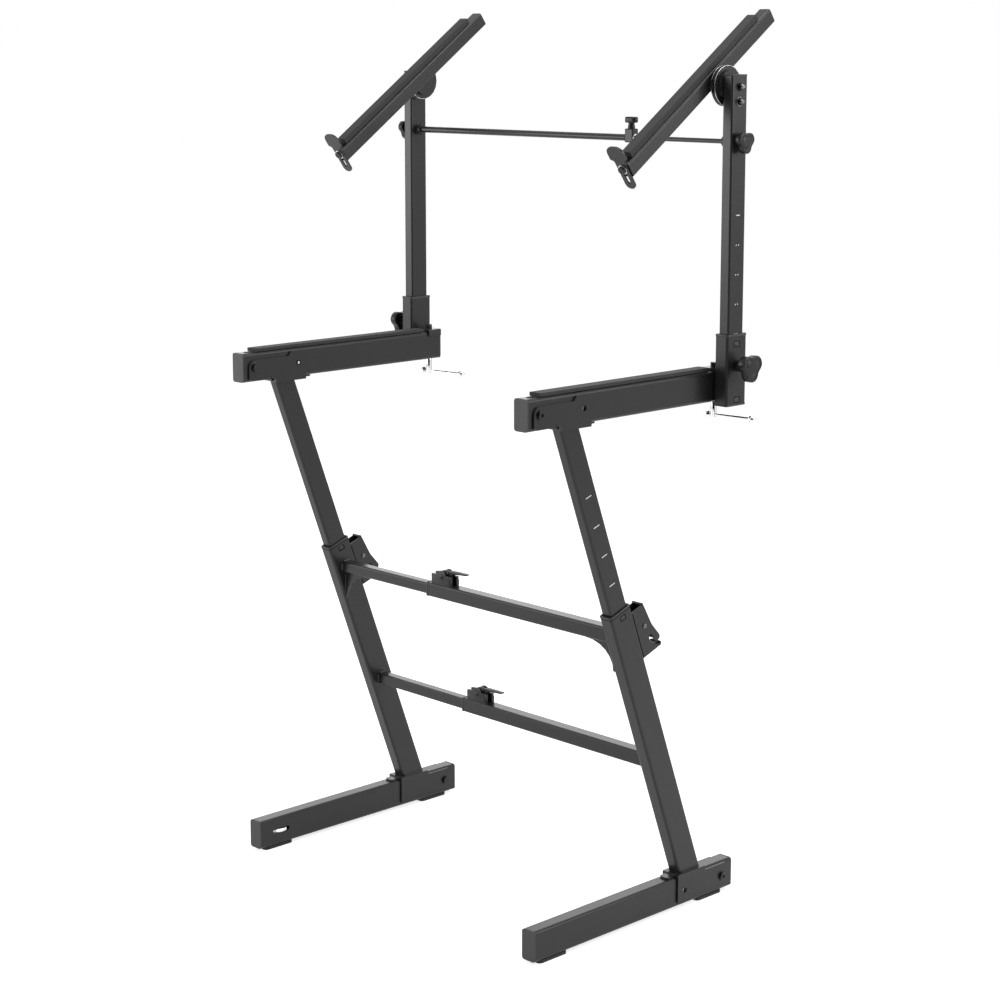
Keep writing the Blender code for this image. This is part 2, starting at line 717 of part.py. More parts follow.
def nose_box(name, side, back_from, back_to, margin, group):
    """A block where the latch nose passes, with a margin round it."""
    low = LOCK_NOSE_RISE - LOCK_NOSE_HEIGHT / 2 - LOCK_PIN_DOWN - margin
    high = low + LOCK_NOSE_HEIGHT + 2 * margin
    outline = [Vector(corner) for corner in
               ((back_from, low), (back_to, low), (back_to, high), (back_from, high))]
    width = LOCK_NOSE_WIDTH + 2 * margin
    return prism(name, [outline], width, leg_side_view(side * FRAME_HALF), group)


def make_lower_leg(label, side, materials, parts, cutters):
    """The lower leg with its foot bracket and lock housing."""
    x = side * FRAME_HALF
    end = LEG_LENGTH - COLLAR_LIP - FIT
    start = -LEG_DEPTH / 2
    section = leg_section(x, (start + end) / 2)
    leg = tube(f"leg_lower_{label}", LEG_DEPTH, LEG_WIDTH, TUBE_WALL, LEG_ROUND, end - start, section, parts)
    trim_size = (2 * LEG_WIDTH, 4 * LEG_DEPTH, 2 * LEG_DEPTH)
    trim_middle = Vector((x, LEG_SEAT_Y, WEB_UNDER + WEB / 2 - LEG_DEPTH))
    cut(leg, box(f"leg_trim_{label}", trim_middle, trim_size, cutters))
    join(leg, bracket(f"foot_{label}", side, FOOT_HINGE_POINT, WEB_UNDER, -1, 1, cutters))
    join(leg, lock_housing(label, side, cutters))
    wall_back = LEG_DEPTH / 2 + EMBED / 2
    wall_front = LEG_DEPTH / 2 - TUBE_WALL - EMBED
    cut(leg, nose_box(f"nose_window_{label}", side, wall_front, wall_back, NOSE_WINDOW_MARGIN, cutters),
        *bracket_holes(f"foot_{label}", side, FOOT_HINGE_POINT, -1, cutters))
    return finish(leg, materials["steel"])


def make_collar(label, side, materials, parts, cutters):
    """The plastic collar in the lower leg's mouth: a lip, with a tongue down the front and the back."""
    x = side * FRAME_HALF
    hole = rectangle(UPPER_DEPTH + 2 * FIT, UPPER_WIDTH + 2 * FIT, LEG_ROUND)
    lip_outlines = [rectangle(LEG_DEPTH, LEG_WIDTH, LEG_ROUND), hole]
    collar = prism(f"leg_collar_{label}", lip_outlines, COLLAR_LIP, leg_section(x, LEG_LENGTH - COLLAR_LIP / 2), parts)
    tongue_outer = LEG_DEPTH / 2 - TUBE_WALL - FIT
    tongue_inner = UPPER_DEPTH / 2 + FIT
    tongue_middle = (tongue_outer + tongue_inner) / 2
    tongue_width = LEG_WIDTH - 2 * TUBE_WALL - 2 * LEG_ROUND
    bottom = LEG_LENGTH - COLLAR_LIP + EMBED
    for place, back in (("back", tongue_middle), ("front", -tongue_middle)):
        outline = rectangle(tongue_outer - tongue_inner, tongue_width, 0, (back, 0))
        section = leg_section(x, bottom - COLLAR_DEPTH / 2)
        join(collar, prism(f"collar_{place}_{label}", [outline], COLLAR_DEPTH, section, cutters))
    return finish(collar, materials["plastic"])


def make_upper_leg(label, side, materials, parts, cutters):
    """The upper leg with its row of latch holes and the arm's bracket."""
    x = side * FRAME_HALF
    start = LEG_LENGTH - UPPER_IN
    end = LEG_LENGTH + UPPER_OUT + UPPER_DEPTH / 2
    section = leg_section(x, (start + end) / 2)
    leg = tube(f"leg_upper_{label}", UPPER_DEPTH, UPPER_WIDTH, UPPER_WALL, LEG_ROUND, end - start, section, parts)
    trim_size = (2 * LEG_WIDTH, 4 * LEG_DEPTH, 2 * LEG_DEPTH)
    trim_middle = Vector((x, LEG_TOP_POINT.y, LEG_TOP_POINT.z + WEB / 2 + LEG_DEPTH))
    cut(leg, box(f"upper_trim_{label}", trim_middle, trim_size, cutters))
    join(leg, bracket(f"arm_{label}", side, ARM_HINGE_POINT, LEG_TOP_POINT.z + WEB, 1, -1, cutters))
    cut(leg, *bracket_holes(f"arm_{label}", side, ARM_HINGE_POINT, 1, cutters))
    nose_up = LOCK_NOSE_RISE - LOCK_PIN_DOWN
    for number in range(INDEX_HOLES):
        cut(leg, index_hole(f"index_hole_{number}_{label}", x, nose_up + number * INDEX_PITCH, cutters))
    return finish(leg, materials["steel"], at_side(side, ARM_HINGE_POINT))


def index_hole(name, x, up, cutters):
    """One latch hole through the upper leg's back wall."""
    half_height = INDEX_HOLE_HEIGHT / 2
    back_from = UPPER_DEPTH / 2 - UPPER_WALL - EMBED
    back_to = UPPER_DEPTH / 2 + EMBED
    outline = [Vector(corner) for corner in ((back_from, up - half_height), (back_to, up - half_height),
                                             (back_to, up + half_height), (back_from, up + half_height))]
    return prism(name, [outline], INDEX_HOLE_WIDTH, leg_side_view(x), cutters)


def lever_outline():
    """The lock lever: a boss round the pin, a nose arm and a curved trigger."""
    return rounded([
        (0.0375, -0.0310, 0.003),
        (0.0470, -0.0310, 0.004),
        (0.0490, -0.0600, 0.004),
        (0.0440, -0.0700, 0.004),
        (0.0448, -0.0835, 0.005),
        (0.0570, -0.0930, 0.006),
        (0.0650, -0.0968, 0.002),
        (0.0672, -0.0940, 0.001),
        (0.0695, -0.0962, 0.001),
        (0.0685, -0.0990, 0.001),
        (0.0560, -0.0975, 0.006),
        (0.0430, -0.0880, 0.006),
        (0.0365, -0.0650, 0.004),
    ])


def make_lock_lever(label, side, materials, parts, cutters):
    """The spring lever that locks the leg's height, with its trigger in the housing's notch."""
    x = side * FRAME_HALF
    view = leg_side_view(x)
    width = HOUSING_WIDTH - 2 * HOUSING_WALL - 2 * FIT
    lever = prism(f"lock_lever_{label}", [lever_outline()], width, view, parts)
    boss = circle(LOCK_BOSS_RADIUS, (LOCK_PIN_BACK, -LOCK_PIN_DOWN))
    join(lever, prism(f"lever_boss_{label}", [boss], width, view, cutters))
    nose_end = UPPER_DEPTH / 2 + FIT
    join(lever, nose_box(f"lever_nose_{label}", side, nose_end, LOCK_PIN_BACK, 0, cutters))
    bore = circle(LOCK_PIN_RADIUS + FIT, (LOCK_PIN_BACK, -LOCK_PIN_DOWN))
    cut(lever, prism(f"lever_bore_{label}", [bore], 2 * width, view, cutters))
    return finish(lever, materials["plastic"], leg_point(x, -LOCK_PIN_DOWN, LOCK_PIN_BACK))


def make_hinge_bolt(name, side, point, materials, parts, cutters):
    """A hinge bolt with a socket head outside and its nut inside."""
    start = BRACKET_HALF + FIT + HINGE_HEAD_HEIGHT
    nut_inner = BRACKET_HALF + FIT
    profile = [
        (0, 0),
        (HINGE_HEAD_RADIUS - HINGE_HEAD_HEIGHT / 4, 0),
        (HINGE_HEAD_RADIUS, HINGE_HEAD_HEIGHT / 4),
        (HINGE_HEAD_RADIUS, HINGE_HEAD_HEIGHT),
        (HINGE_BOLT_RADIUS, HINGE_HEAD_HEIGHT),
        (HINGE_BOLT_RADIUS, start + nut_inner),
        (HINGE_HEAD_RADIUS, start + nut_inner),
        (HINGE_HEAD_RADIUS, start + nut_inner + HINGE_HEAD_HEIGHT),
        (0, start + nut_inner + HINGE_HEAD_HEIGHT),
    ]
    bolt = turned(name, profile, at_side(side, point, start), (-side, 0, 0), parts)
    socket_start, socket_end = across(side, point, start - HEX_SOCKET_DEPTH, start + OVERCUT)
    cut(bolt, rod(name + "_socket", socket_start, socket_end, HEX_SOCKET_RADIUS, cutters, 6))
    return finish(bolt, materials["bolt"], at_side(side, point))


def make_snap_button(name, side, point, materials, parts):
    """A spring button, flush with the tube's outer wall behind the cheek's hole."""
    outer = TUBE_WIDTH / 2
    wall = TUBE_WALL + FIT
    profile = [
        (0, 0),
        (SNAP_RADIUS, 0),
        (SNAP_RADIUS, wall),
        (SNAP_FLANGE_RADIUS, wall),
        (SNAP_FLANGE_RADIUS, SNAP_DEPTH),
        (0, SNAP_DEPTH),
    ]
    button = turned(name, profile, at_side(side, point, outer), (-side, 0, 0), parts)
    return finish(button, materials["chrome"], at_side(side, point, outer))


def clamp_bore(name, side, low, high, cutters):
    """The hole for a clamp screw's thread."""
    ends = [(side * FRAME_HALF, SLEEVE_Y, height) for height in (low, high)]
    return rod(name, *ends, CLAMP_THREAD_RADIUS + FIT, cutters)


def make_arm_tube(label, side, materials, parts, cutters):
    """The arm's tube, drilled for its hinge bolt, its snap button and the second tier's clamp screw."""
    start = ARM_FRONT + CAP_LIP + FIT
    arm = level_tube(f"arm_tube_{label}", side * FRAME_HALF, start, ARM_LENGTH - CAP_LIP - FIT, ARM_MID, parts)
    cut(arm, hinge_holes(f"arm_bolt_hole_{label}", side, ARM_HINGE_POINT, HINGE_BOLT_RADIUS + FIT, cutters),
        button_hole(f"arm_button_hole_{label}", side, snap_point(ARM_HINGE_POINT, 1), cutters),
        clamp_bore(f"arm_clamp_hole_{label}", side, ARM_UNDER - OVERCUT, ARM_TOP + OVERCUT, cutters))
    return finish(arm, materials["steel"], at_side(side, ARM_HINGE_POINT))


def make_arm_rubber(label, side, materials, parts):
    """The rubber strip on top of an arm."""
    middle = (side * FRAME_HALF, ARM_TOP + FIT + ARM_RUBBER_HEIGHT / 2)
    outline = rectangle(ARM_RUBBER_WIDTH, ARM_RUBBER_HEIGHT, ARM_RUBBER_HEIGHT / 5, middle)
    front = ARM_FRONT + ARM_RUBBER_INSET
    rear = SLEEVE_Y - HOOK_DEPTH / 2 - ARM_RUBBER_GAP
    strip = prism(f"arm_rubber_{label}", [outline], rear - front, front_view((front + rear) / 2), parts)
    return finish(strip, materials["rubber"])


def brace_section(x, up):
    """Outline points are (y, z) round a brace's middle."""
    middle = LEG_SEAT_POINT + LEG_UP * up
    return frame_matrix(Vector((x, middle.y, middle.z)), Vector((0, 1, 0)), Vector((0, 0, 1)))


def brace_tube(name, width, wall, start, end, up, parts):
    """A square brace tube between two places along X."""
    return tube(name, width, width, wall, BRACE_ROUND, end - start, brace_section((start + end) / 2, up), parts)


def gusset(name, side, width, up, cutters):
    """A plate with a concave edge, under a brace at its leg."""
    middle = LEG_SEAT_POINT + LEG_UP * up
    face = LEG_FACE - FIT
    under = middle.z - width / 2
    steps = 2 * CORNER_STEPS
    points = [Vector((side * face, under + BRACE_WALL / 2))]
    points.append(Vector((side * (face - GUSSET_LENGTH), under + BRACE_WALL / 2)))
    for step in range(steps + 1):
        turn = pi / 2 * step / steps
        inwards = (GUSSET_LENGTH - GUSSET_TIP) * (1 - sin(turn)) + GUSSET_TIP
        down = (GUSSET_DROP - GUSSET_TIP) * (1 - cos(turn)) + GUSSET_TIP
        points.append(Vector((side * (face - inwards), under - down)))
    points.append(Vector((side * face, under - GUSSET_DROP)))
    return prism(name, [points], GUSSET_THICKNESS, front_view(middle.y), cutters)


def clamp_block(label, up, cutters):
    """The cam clamp's block on top of an outer brace tube, with its slot and cross pin."""
    middle = LEG_SEAT_POINT + LEG_UP * up
    top = middle.z + BRACE_OUTER / 2
    size = (CLAMP_LENGTH, CLAMP_WIDTH, CLAMP_HEIGHT + EMBED)
    block_middle = Vector((CLAMP_START + CLAMP_LENGTH / 2, middle.y, top + (CLAMP_HEIGHT - EMBED) / 2))
    block = box(f"clamp_block_{label}", block_middle, size, cutters)
    slot_length = CLAMP_LENGTH - CLAMP_END_WALL + OVERCUT
    slot_start = CLAMP_START + CLAMP_END_WALL
    slot_size = (slot_length, CLAMP_SLOT + 2 * FIT, CLAMP_HEIGHT + 2 * EMBED)
    slot_middle = Vector((slot_start + slot_length / 2, middle.y, top + slot_size[2] / 2 - 2 * EMBED))
    cut(block, box(f"clamp_slot_{label}", slot_middle, slot_size, cutters))
    pin = cam_pin(up)
    reach = Vector((0, CLAMP_WIDTH / 2 + EMBED, 0))
    return join(block, rod(f"clamp_pin_{label}", pin - reach, pin + reach, CAM_PIN_RADIUS, cutters))


def cam_pin(up):
    """The middle of a cam lever's pin."""
    middle = LEG_SEAT_POINT + LEG_UP * up
    return Vector((CLAMP_START + CAM_PIN, middle.y, middle.z + BRACE_OUTER / 2 + CAM_PIN_RISE))


def make_outer_brace(label, up, with_gusset, materials, parts, cutters):
    """The outer tube of a cross brace, held by the right leg, with its clamp block."""
    brace = brace_tube(f"brace_{label}_outer", BRACE_OUTER, BRACE_WALL, BRACE_MOUTH, LEG_FACE - FIT, up, parts)
    join(brace, clamp_block(label, up, cutters))
    if with_gusset:
        join(brace, gusset(f"gusset_right_{label}", 1, BRACE_OUTER, up, cutters))
    return finish(brace, materials["steel"])


def make_inner_brace(label, up, with_gusset, materials, parts, cutters):
    """The inner tube of a cross brace, held by the left leg."""
    brace = brace_tube(f"brace_{label}_inner", BRACE_INNER, BRACE_WALL, -LEG_FACE + FIT, BRACE_INNER_END, up, parts)
    if with_gusset:
        join(brace, gusset(f"gusset_left_{label}", -1, BRACE_INNER, up, cutters))
    return finish(brace, materials["steel"])


def make_cam_lever(label, up, materials, parts, cutters):
    """A clamp's cam lever: a round hump on the pin and a tail."""
    pin = cam_pin(up)
    lever = prism(f"cam_lever_{label}", [circle(CAM_RADIUS, (pin.x, pin.z))], CLAMP_SLOT, front_view(pin.y), parts)
    root = (pin.x, pin.z + CAM_RADIUS / 2)
    tip_top = pin.z + CAM_TAIL_RISE + EMBED
    tip = pin.x + CAM_TAIL
    tail_outline = rounded([
        (root[0], root[1] - CAM_TAIL_THICKNESS / 2, 0),
        (pin.x + CAM_RADIUS + CAM_TAIL_THICKNESS, tip_top - CAM_TAIL_THICKNESS, CAM_TAIL_THICKNESS),
        (tip, tip_top - CAM_TAIL_THICKNESS, CAM_TAIL_THICKNESS / 3),
        (tip, tip_top, CAM_TAIL_THICKNESS / 3),
        (root[0], pin.z + CAM_RADIUS - EMBED / 2, 0),
    ])
    join(lever, prism(f"cam_tail_{label}", [tail_outline], CLAMP_SLOT - EMBED, front_view(pin.y), cutters))
    reach = Vector((0, CLAMP_WIDTH, 0))
    cut(lever, rod(f"cam_bore_{label}", pin - reach, pin + reach, CAM_PIN_RADIUS + FIT, cutters))
    return finish(lever, materials["plastic"], pin)


def clamp_outline(side):
    """The clamp bracket seen from the front: a plate beside the arm and a hook over it."""
    inner = FRAME_HALF - TUBE_WIDTH / 2 - FIT
    outer = FRAME_HALF + TUBE_WIDTH / 2 + FIT
    welded = SLEEVE_X - SLEEVE_WIDTH / 2 + EMBED
    corners = [
        (welded, ARM_UNDER, 0),
        (welded, HOOK_TOP, 0),
        (inner - HOOK_LIP_WALL, HOOK_TOP, HOOK_LIP_WALL),
        (inner - HOOK_LIP_WALL, HOOK_TOP - HOOK_LIP, 0),
        (inner, HOOK_TOP - HOOK_LIP, 0),
        (inner, HOOK_UNDER, 0),
        (outer, HOOK_UNDER, 0),
        (outer, ARM_UNDER, 0),
    ]
    return [Vector((side * point.x, point.y)) for point in rounded(corners)]


def make_post_sleeve(label, side, materials, parts, cutters):
    """The sleeve that holds a post, with the bracket that clamps it on the arm."""
    middle = Vector((side * SLEEVE_X, SLEEVE_Y, ARM_MID + (SLEEVE_RISE - SLEEVE_DROP) / 2))
    section = frame_matrix(middle, Vector((1, 0, 0)), Vector((0, 1, 0)))
    sleeve = tube(f"post_sleeve_{label}", SLEEVE_WIDTH, SLEEVE_DEPTH, SLEEVE_WALL, SLEEVE_ROUND,
                  SLEEVE_RISE + SLEEVE_DROP, section, parts)
    hook = prism(f"clamp_hook_{label}", [clamp_outline(side)], HOOK_DEPTH, front_view(SLEEVE_Y), cutters)
    nut_ends = [(side * FRAME_HALF, SLEEVE_Y, height) for height in (HOOK_TOP - EMBED, HOOK_TOP + CLAMP_NUT_HEIGHT)]
    join(hook, rod(f"clamp_nut_{label}", *nut_ends, CLAMP_NUT_RADIUS, cutters, 6))
    cut(hook, clamp_bore(f"clamp_bore_{label}", side, HOOK_UNDER - OVERCUT, HOOK_TOP + CLAMP_NUT_BORE + FIT, cutters))
    join(sleeve, hook)
    knob = Vector((0, SLEEVE_Y, ARM_MID + POST_KNOB_RISE))
    drill = (Vector((side * SLEEVE_X, knob.y, knob.z)),
             Vector((side * (SLEEVE_X + SLEEVE_WIDTH), knob.y, knob.z)))
    cut(sleeve, rod(f"sleeve_drill_{label}", *drill, KNOB_SCREW_RADIUS + FIT, cutters))
    return finish(sleeve, materials["steel"])


def bar_middle(side):
    """Where the T-bar crosses its clamp screw."""
    return Vector((side * FRAME_HALF, SLEEVE_Y, ARM_UNDER - BAR_DROP))


def bar_direction(side):
    """The T-bar's direction, towards +X."""
    turn = RIGHT_BAR_TURN if side > 0 else LEFT_BAR_TURN
    return Vector((cos(turn), sin(turn), 0))


def make_clamp_screw(label, side, materials, parts, cutters):
    """The screw up through the arm into the hook's nut, with a thick shank cross-drilled for its T-bar."""
    middle = bar_middle(side)
    low = Vector((middle.x, middle.y, ARM_UNDER - FIT - CLAMP_SCREW_LENGTH))
    thread_top = HOOK_TOP + CLAMP_NUT_BORE - low.z
    profile = [
        (0, 0),
        (CLAMP_SCREW_RADIUS, 0),
        (CLAMP_SCREW_RADIUS, CLAMP_SCREW_LENGTH),
        (CLAMP_THREAD_RADIUS, CLAMP_SCREW_LENGTH),
        (CLAMP_THREAD_RADIUS, thread_top),
        (0, thread_top),
    ]
    screw = turned(f"clamp_screw_{label}", profile, low, (0, 0, 1), parts)
    reach = bar_direction(side) * 2 * CLAMP_SCREW_RADIUS
    cut(screw, rod(f"bar_hole_{label}", middle - reach, middle + reach, BAR_RADIUS + FIT, cutters))
    return finish(screw, materials["chrome"], middle)


def make_clamp_bar(label, side, materials, parts, cutters):
    """The T-bar with a ball on each end, slid to one end of its travel."""
    middle = bar_middle(side)
    along = bar_direction(side)
    near = middle - along * BAR_STOP
    far = near + along * BAR_SPAN
    bar = rod(f"clamp_bar_{label}", near, far, BAR_RADIUS, parts, ROUND_STEPS // 2)
    join(bar, ball(f"ball_near_{label}", near, BALL_RADIUS, cutters),
         ball(f"ball_far_{label}", far, BALL_RADIUS, cutters))
    return finish(bar, materials["chrome"], middle)


def lobed(radius, middle):
    """A three-lobed knob's outline, with one lobe pointing down."""
    mean = radius * (1 - KNOB_LOBE / 2)
    swing = radius * KNOB_LOBE / 2
    points = []
    for step in range(KNOB_STEPS):
        turn = 2 * pi * step / KNOB_STEPS
        reach = mean + swing * cos(KNOB_LOBES * turn)
        points.append(Vector((middle[0] + reach * sin(turn), middle[1] - reach * cos(turn))))
    return points


def make_knob(name, face, side, height, radius, hub, thickness, screw_reach, screw_radius,
              materials, parts, cutters):
    """A lobed clamping knob on the stand's outer side, with its hub and screw."""
    start = face + FIT
    body_middle = start + hub + thickness / 2
    knob = prism(name, [lobed(radius, (SLEEVE_Y, height))], thickness, side_view(side * body_middle), parts)
    hub_ends = [(side * x, SLEEVE_Y, height) for x in (start, start + hub + EMBED)]
    screw_ends = [(side * x, SLEEVE_Y, height) for x in (screw_reach, start + hub + EMBED / 2)]
    join(knob, rod(name + "_hub", *hub_ends, radius / 2, cutters),
         rod(name + "_screw", *screw_ends, screw_radius, cutters))
    return finish(knob, materials["plastic"], (side * start, SLEEVE_Y, height))


def make_post_knob(label, side, materials, parts, cutters):
    """The knob that clamps a post in its sleeve."""
    face = SLEEVE_X + SLEEVE_WIDTH / 2
    reach = SLEEVE_X + POST_WIDTH / 2 + FIT
    return make_knob(f"post_knob_{label}", face, side, ARM_MID + POST_KNOB_RISE, POST_KNOB_RADIUS, POST_KNOB_HUB,
                     POST_KNOB_THICKNESS, reach, KNOB_SCREW_RADIUS, materials, parts, cutters)


def make_rod_knob(label, side, materials, parts, cutters):
    """The knob that fixes an end of the cross rod to its post."""
    face = SLEEVE_X + POST_WIDTH / 2
    reach = SLEEVE_X - POST_WIDTH / 2
    return make_knob(f"rod_knob_{label}", face, side, ROD_Z, ROD_KNOB_RADIUS, ROD_KNOB_HUB,
                     ROD_KNOB_THICKNESS, reach, WING_SCREW_RADIUS, materials, parts, cutters)


def make_post(label, side, materials, parts, cutters):
    """A post with its half of the tilt joint: a stepped disc and the pivot pin."""
    bottom = SLEEVE_TOP - POST_IN
    top = ARM_MID + POST_TOP
    middle = Vector((side * SLEEVE_X, SLEEVE_Y, (bottom + top) / 2))
    section = frame_matrix(middle, Vector((1, 0, 0)), Vector((0, 1, 0)))
    post = tube(f"post_{label}", POST_WIDTH, POST_DEPTH, POST_WALL, POST_ROUND, top - bottom, section, parts)
    inner_face = SLEEVE_X - POST_WIDTH / 2
    half_gap = TILT_GAP / 2
    step = half_gap / 2
    pin_end = TILT_GAP - 2 * FIT
    profile = [
        (0, -EMBED),
        (DISC_STEP_RADIUS, -EMBED),
        (DISC_STEP_RADIUS, step),
        (DISC_RADIUS, step),
        (DISC_RADIUS, half_gap - FIT / 2),
        (PIVOT_PIN_RADIUS, half_gap - FIT / 2),
        (PIVOT_PIN_RADIUS, pin_end),
        (0, pin_end),
    ]
    start = Vector((side * inner_face, SLEEVE_Y, PIVOT_Z))
    join(post, turned(f"post_disc_{label}", profile, start, (-side, 0, 0), cutters))
    hole = ((side * (SLEEVE_X - POST_WIDTH), SLEEVE_Y, ROD_Z), (side * (SLEEVE_X + POST_WIDTH), SLEEVE_Y, ROD_Z))
    cut(post, rod(f"post_rod_hole_{label}", *hole, WING_SCREW_RADIUS + FIT, cutters))
    return finish(post, materials["steel"])


def tilt_point(side, along, up, x=TILT_X):
    """A point of a tilt arm, along it from the pivot and up from its middle line."""
    point = Vector((0, SLEEVE_Y, PIVOT_Z)) + TILT_ALONG * along + TILT_UP * (TILT_RAISE + up)
    return Vector((side * x, point.y, point.z))


def tilt_section(side, along, up=0, x=TILT_X):
    """Outline points are (x, up) square to a tilt arm."""
    return frame_matrix(tilt_point(side, along, up, x), Vector((1, 0, 0)), TILT_UP)


def make_tilt_arm(label, side, materials, parts, cutters):
    """A tilt arm with its disc of the tilt joint and the end stop's bolt."""
    start = -TILT_FRONT
    end = start + TILT_LENGTH
    section = tilt_section(side, (start + end) / 2)
    arm = tube(f"tilt_arm_{label}", TILT_WIDTH, TILT_HEIGHT, TILT_WALL, TILT_ROUND, TILT_LENGTH, section, parts)
    plug_depth = CAP_DEPTH / 2
    plug_outline = rectangle(TILT_WIDTH - TILT_WALL, TILT_HEIGHT - TILT_WALL, TILT_ROUND / 2)
    plug_section = tilt_section(side, start + EMBED / 2 + plug_depth / 2)
    join(arm, prism(f"stop_seat_{label}", [plug_outline], plug_depth, plug_section, cutters))
    bolt_up = TILT_HEIGHT / 2 - STOP_BOLT_DOWN
    bolt_profile = [
        (0, 0),
        (STOP_BOLT_HEAD, 0),
        (STOP_BOLT_HEAD, STOP_BOLT_HEAD_HEIGHT),
        (STOP_BOLT_RADIUS, STOP_BOLT_HEAD_HEIGHT),
        (STOP_BOLT_RADIUS, STOP_BOLT_HEAD_HEIGHT + STOP_THICKNESS + plug_depth),
        (0, STOP_BOLT_HEAD_HEIGHT + STOP_THICKNESS + plug_depth),
    ]
    bolt_start = start - 2 * FIT - STOP_THICKNESS - STOP_BOLT_HEAD_HEIGHT
    bolt_place = tilt_point(side, bolt_start, bolt_up, STOP_CENTRE)
    join(arm, turned(f"stop_bolt_{label}", bolt_profile, bolt_place, TILT_ALONG, cutters))
    outer_face = TILT_X + TILT_WIDTH / 2
    half_gap = TILT_GAP / 2
    step = half_gap / 2
    disc_profile = [
        (0, -TILT_WALL / 2),
        (DISC_STEP_RADIUS, -TILT_WALL / 2),
        (DISC_STEP_RADIUS, step),
        (DISC_RADIUS, step),
        (DISC_RADIUS, half_gap - FIT / 2),
        (0, half_gap - FIT / 2),
    ]
    disc_start = Vector((side * outer_face, SLEEVE_Y, PIVOT_Z))
    join(arm, turned(f"tilt_disc_{label}", disc_profile, disc_start, (side, 0, 0), cutters))
    bore = [(side * x, SLEEVE_Y, PIVOT_Z) for x in (outer_face - OVERCUT, outer_face + TILT_GAP)]
    cut(arm, rod(f"tilt_bore_{label}", *bore, PIVOT_PIN_RADIUS + FIT, cutters))
    return finish(arm, materials["steel"], disc_start)


def make_tilt_rubber(label, side, materials, parts):
    """The rubber strip on top of a tilt arm."""
    start = -TILT_FRONT + TILT_RUBBER_FRONT
    length = TILT_LENGTH - TILT_RUBBER_FRONT - TILT_RUBBER_REAR
    up = (TILT_HEIGHT + TILT_RUBBER_HEIGHT) / 2 + FIT
    outline = rectangle(TILT_RUBBER_WIDTH, TILT_RUBBER_HEIGHT, TILT_RUBBER_HEIGHT / 5)
    strip = prism(f"tilt_rubber_{label}", [outline], length, tilt_section(side, start + length / 2, up), parts)
    return finish(strip, materials["rubber"])


def stop_outline():
    """The end stop's plate: a wide lobe, a waist and a narrow tail."""
    top = STOP_TOP
    waist = STOP_LOBE_FOOT
    half_lobe = STOP_LOBE_WIDTH / 2
    half = STOP_WIDTH / 2
    lobe_round = STOP_LOBE_WIDTH * 0.36
    return rounded([
        (-half, -STOP_BOTTOM, STOP_ROUND),
        (half, -STOP_BOTTOM, STOP_ROUND),
        (half, waist, STOP_ROUND / 2),
        (half_lobe, waist, STOP_ROUND / 3),
        (half_lobe, top, lobe_round),
        (-half_lobe, top, lobe_round),
        (-half_lobe, waist, STOP_ROUND / 3),
        (-half, waist, STOP_ROUND / 2),
    ])


def make_end_stop(label, side, materials, parts):
    """The sliding stop at a tilt arm's front end, with a slot for its bolt."""
    slot_half = STOP_BOLT_RADIUS + FIT
    slot_top = -STOP_BOLT_DOWN + slot_half
    slot_middle = (0, slot_top - STOP_SLOT_LENGTH / 2)
    slot = rectangle(2 * slot_half, STOP_SLOT_LENGTH, slot_half * 0.98, slot_middle)
    along = -TILT_FRONT - FIT - STOP_THICKNESS / 2
    section = tilt_section(side, along, TILT_HEIGHT / 2, STOP_CENTRE)
    stop = prism(f"end_stop_{label}", [stop_outline(), slot], STOP_THICKNESS, section, parts)
    return finish(stop, materials["steel"])


def make_rod_outer(materials, parts, cutters):
    """The outer cross rod, held by the left post, with its end collar and the collar block."""
    inner_face = SLEEVE_X - POST_WIDTH / 2
    start = -inner_face + FIT
    bar = rod("rod_outer", (start, SLEEVE_Y, ROD_Z), (BLOCK_START + BLOCK_LENGTH / 2, SLEEVE_Y, ROD_Z),
              ROD_OUTER_RADIUS, parts)
    collar = rod("rod_outer_collar", (start, SLEEVE_Y, ROD_Z), (start + ROD_END_LENGTH, SLEEVE_Y, ROD_Z),
                 ROD_END_RADIUS, cutters)
    block_middle = Vector((BLOCK_START + BLOCK_LENGTH / 2, SLEEVE_Y, ROD_Z + BLOCK_RAISE))
    block = box("collar_block", block_middle, (BLOCK_LENGTH, BLOCK_DEPTH, BLOCK_HEIGHT), cutters)
    chamfer = block.modifiers.new("Edges", "BEVEL")
    chamfer.width = BLOCK_DEPTH / 8
    chamfer.segments = 2
    join(bar, collar, block)
    bore_start = start + ROD_END_LENGTH + ROD_OUTER_RADIUS
    bore = rod("rod_bore", (bore_start, SLEEVE_Y, ROD_Z), (BLOCK_START + 2 * BLOCK_LENGTH, SLEEVE_Y, ROD_Z),
               ROD_BORE_RADIUS, cutters)
    thread = rod("wing_bore", (block_middle.x, SLEEVE_Y, ROD_Z), (block_middle.x, SLEEVE_Y, ROD_Z + BLOCK_HEIGHT),
                 WING_SCREW_RADIUS + FIT, cutters)
    cut(bar, bore, thread)
    return finish(bar, materials["steel"])


def make_rod_inner(materials, parts, cutters):
    """The inner cross rod, held by the right post, with its end collar."""
    end = SLEEVE_X - POST_WIDTH / 2 - FIT
    bar = rod("rod_inner", (ROD_INNER_END, SLEEVE_Y, ROD_Z), (end, SLEEVE_Y, ROD_Z), ROD_INNER_RADIUS, parts)
    join(bar, rod("rod_inner_collar", (end - ROD_END_LENGTH, SLEEVE_Y, ROD_Z), (end, SLEEVE_Y, ROD_Z),
                  ROD_END_RADIUS, cutters))
    return finish(bar, materials["steel"])


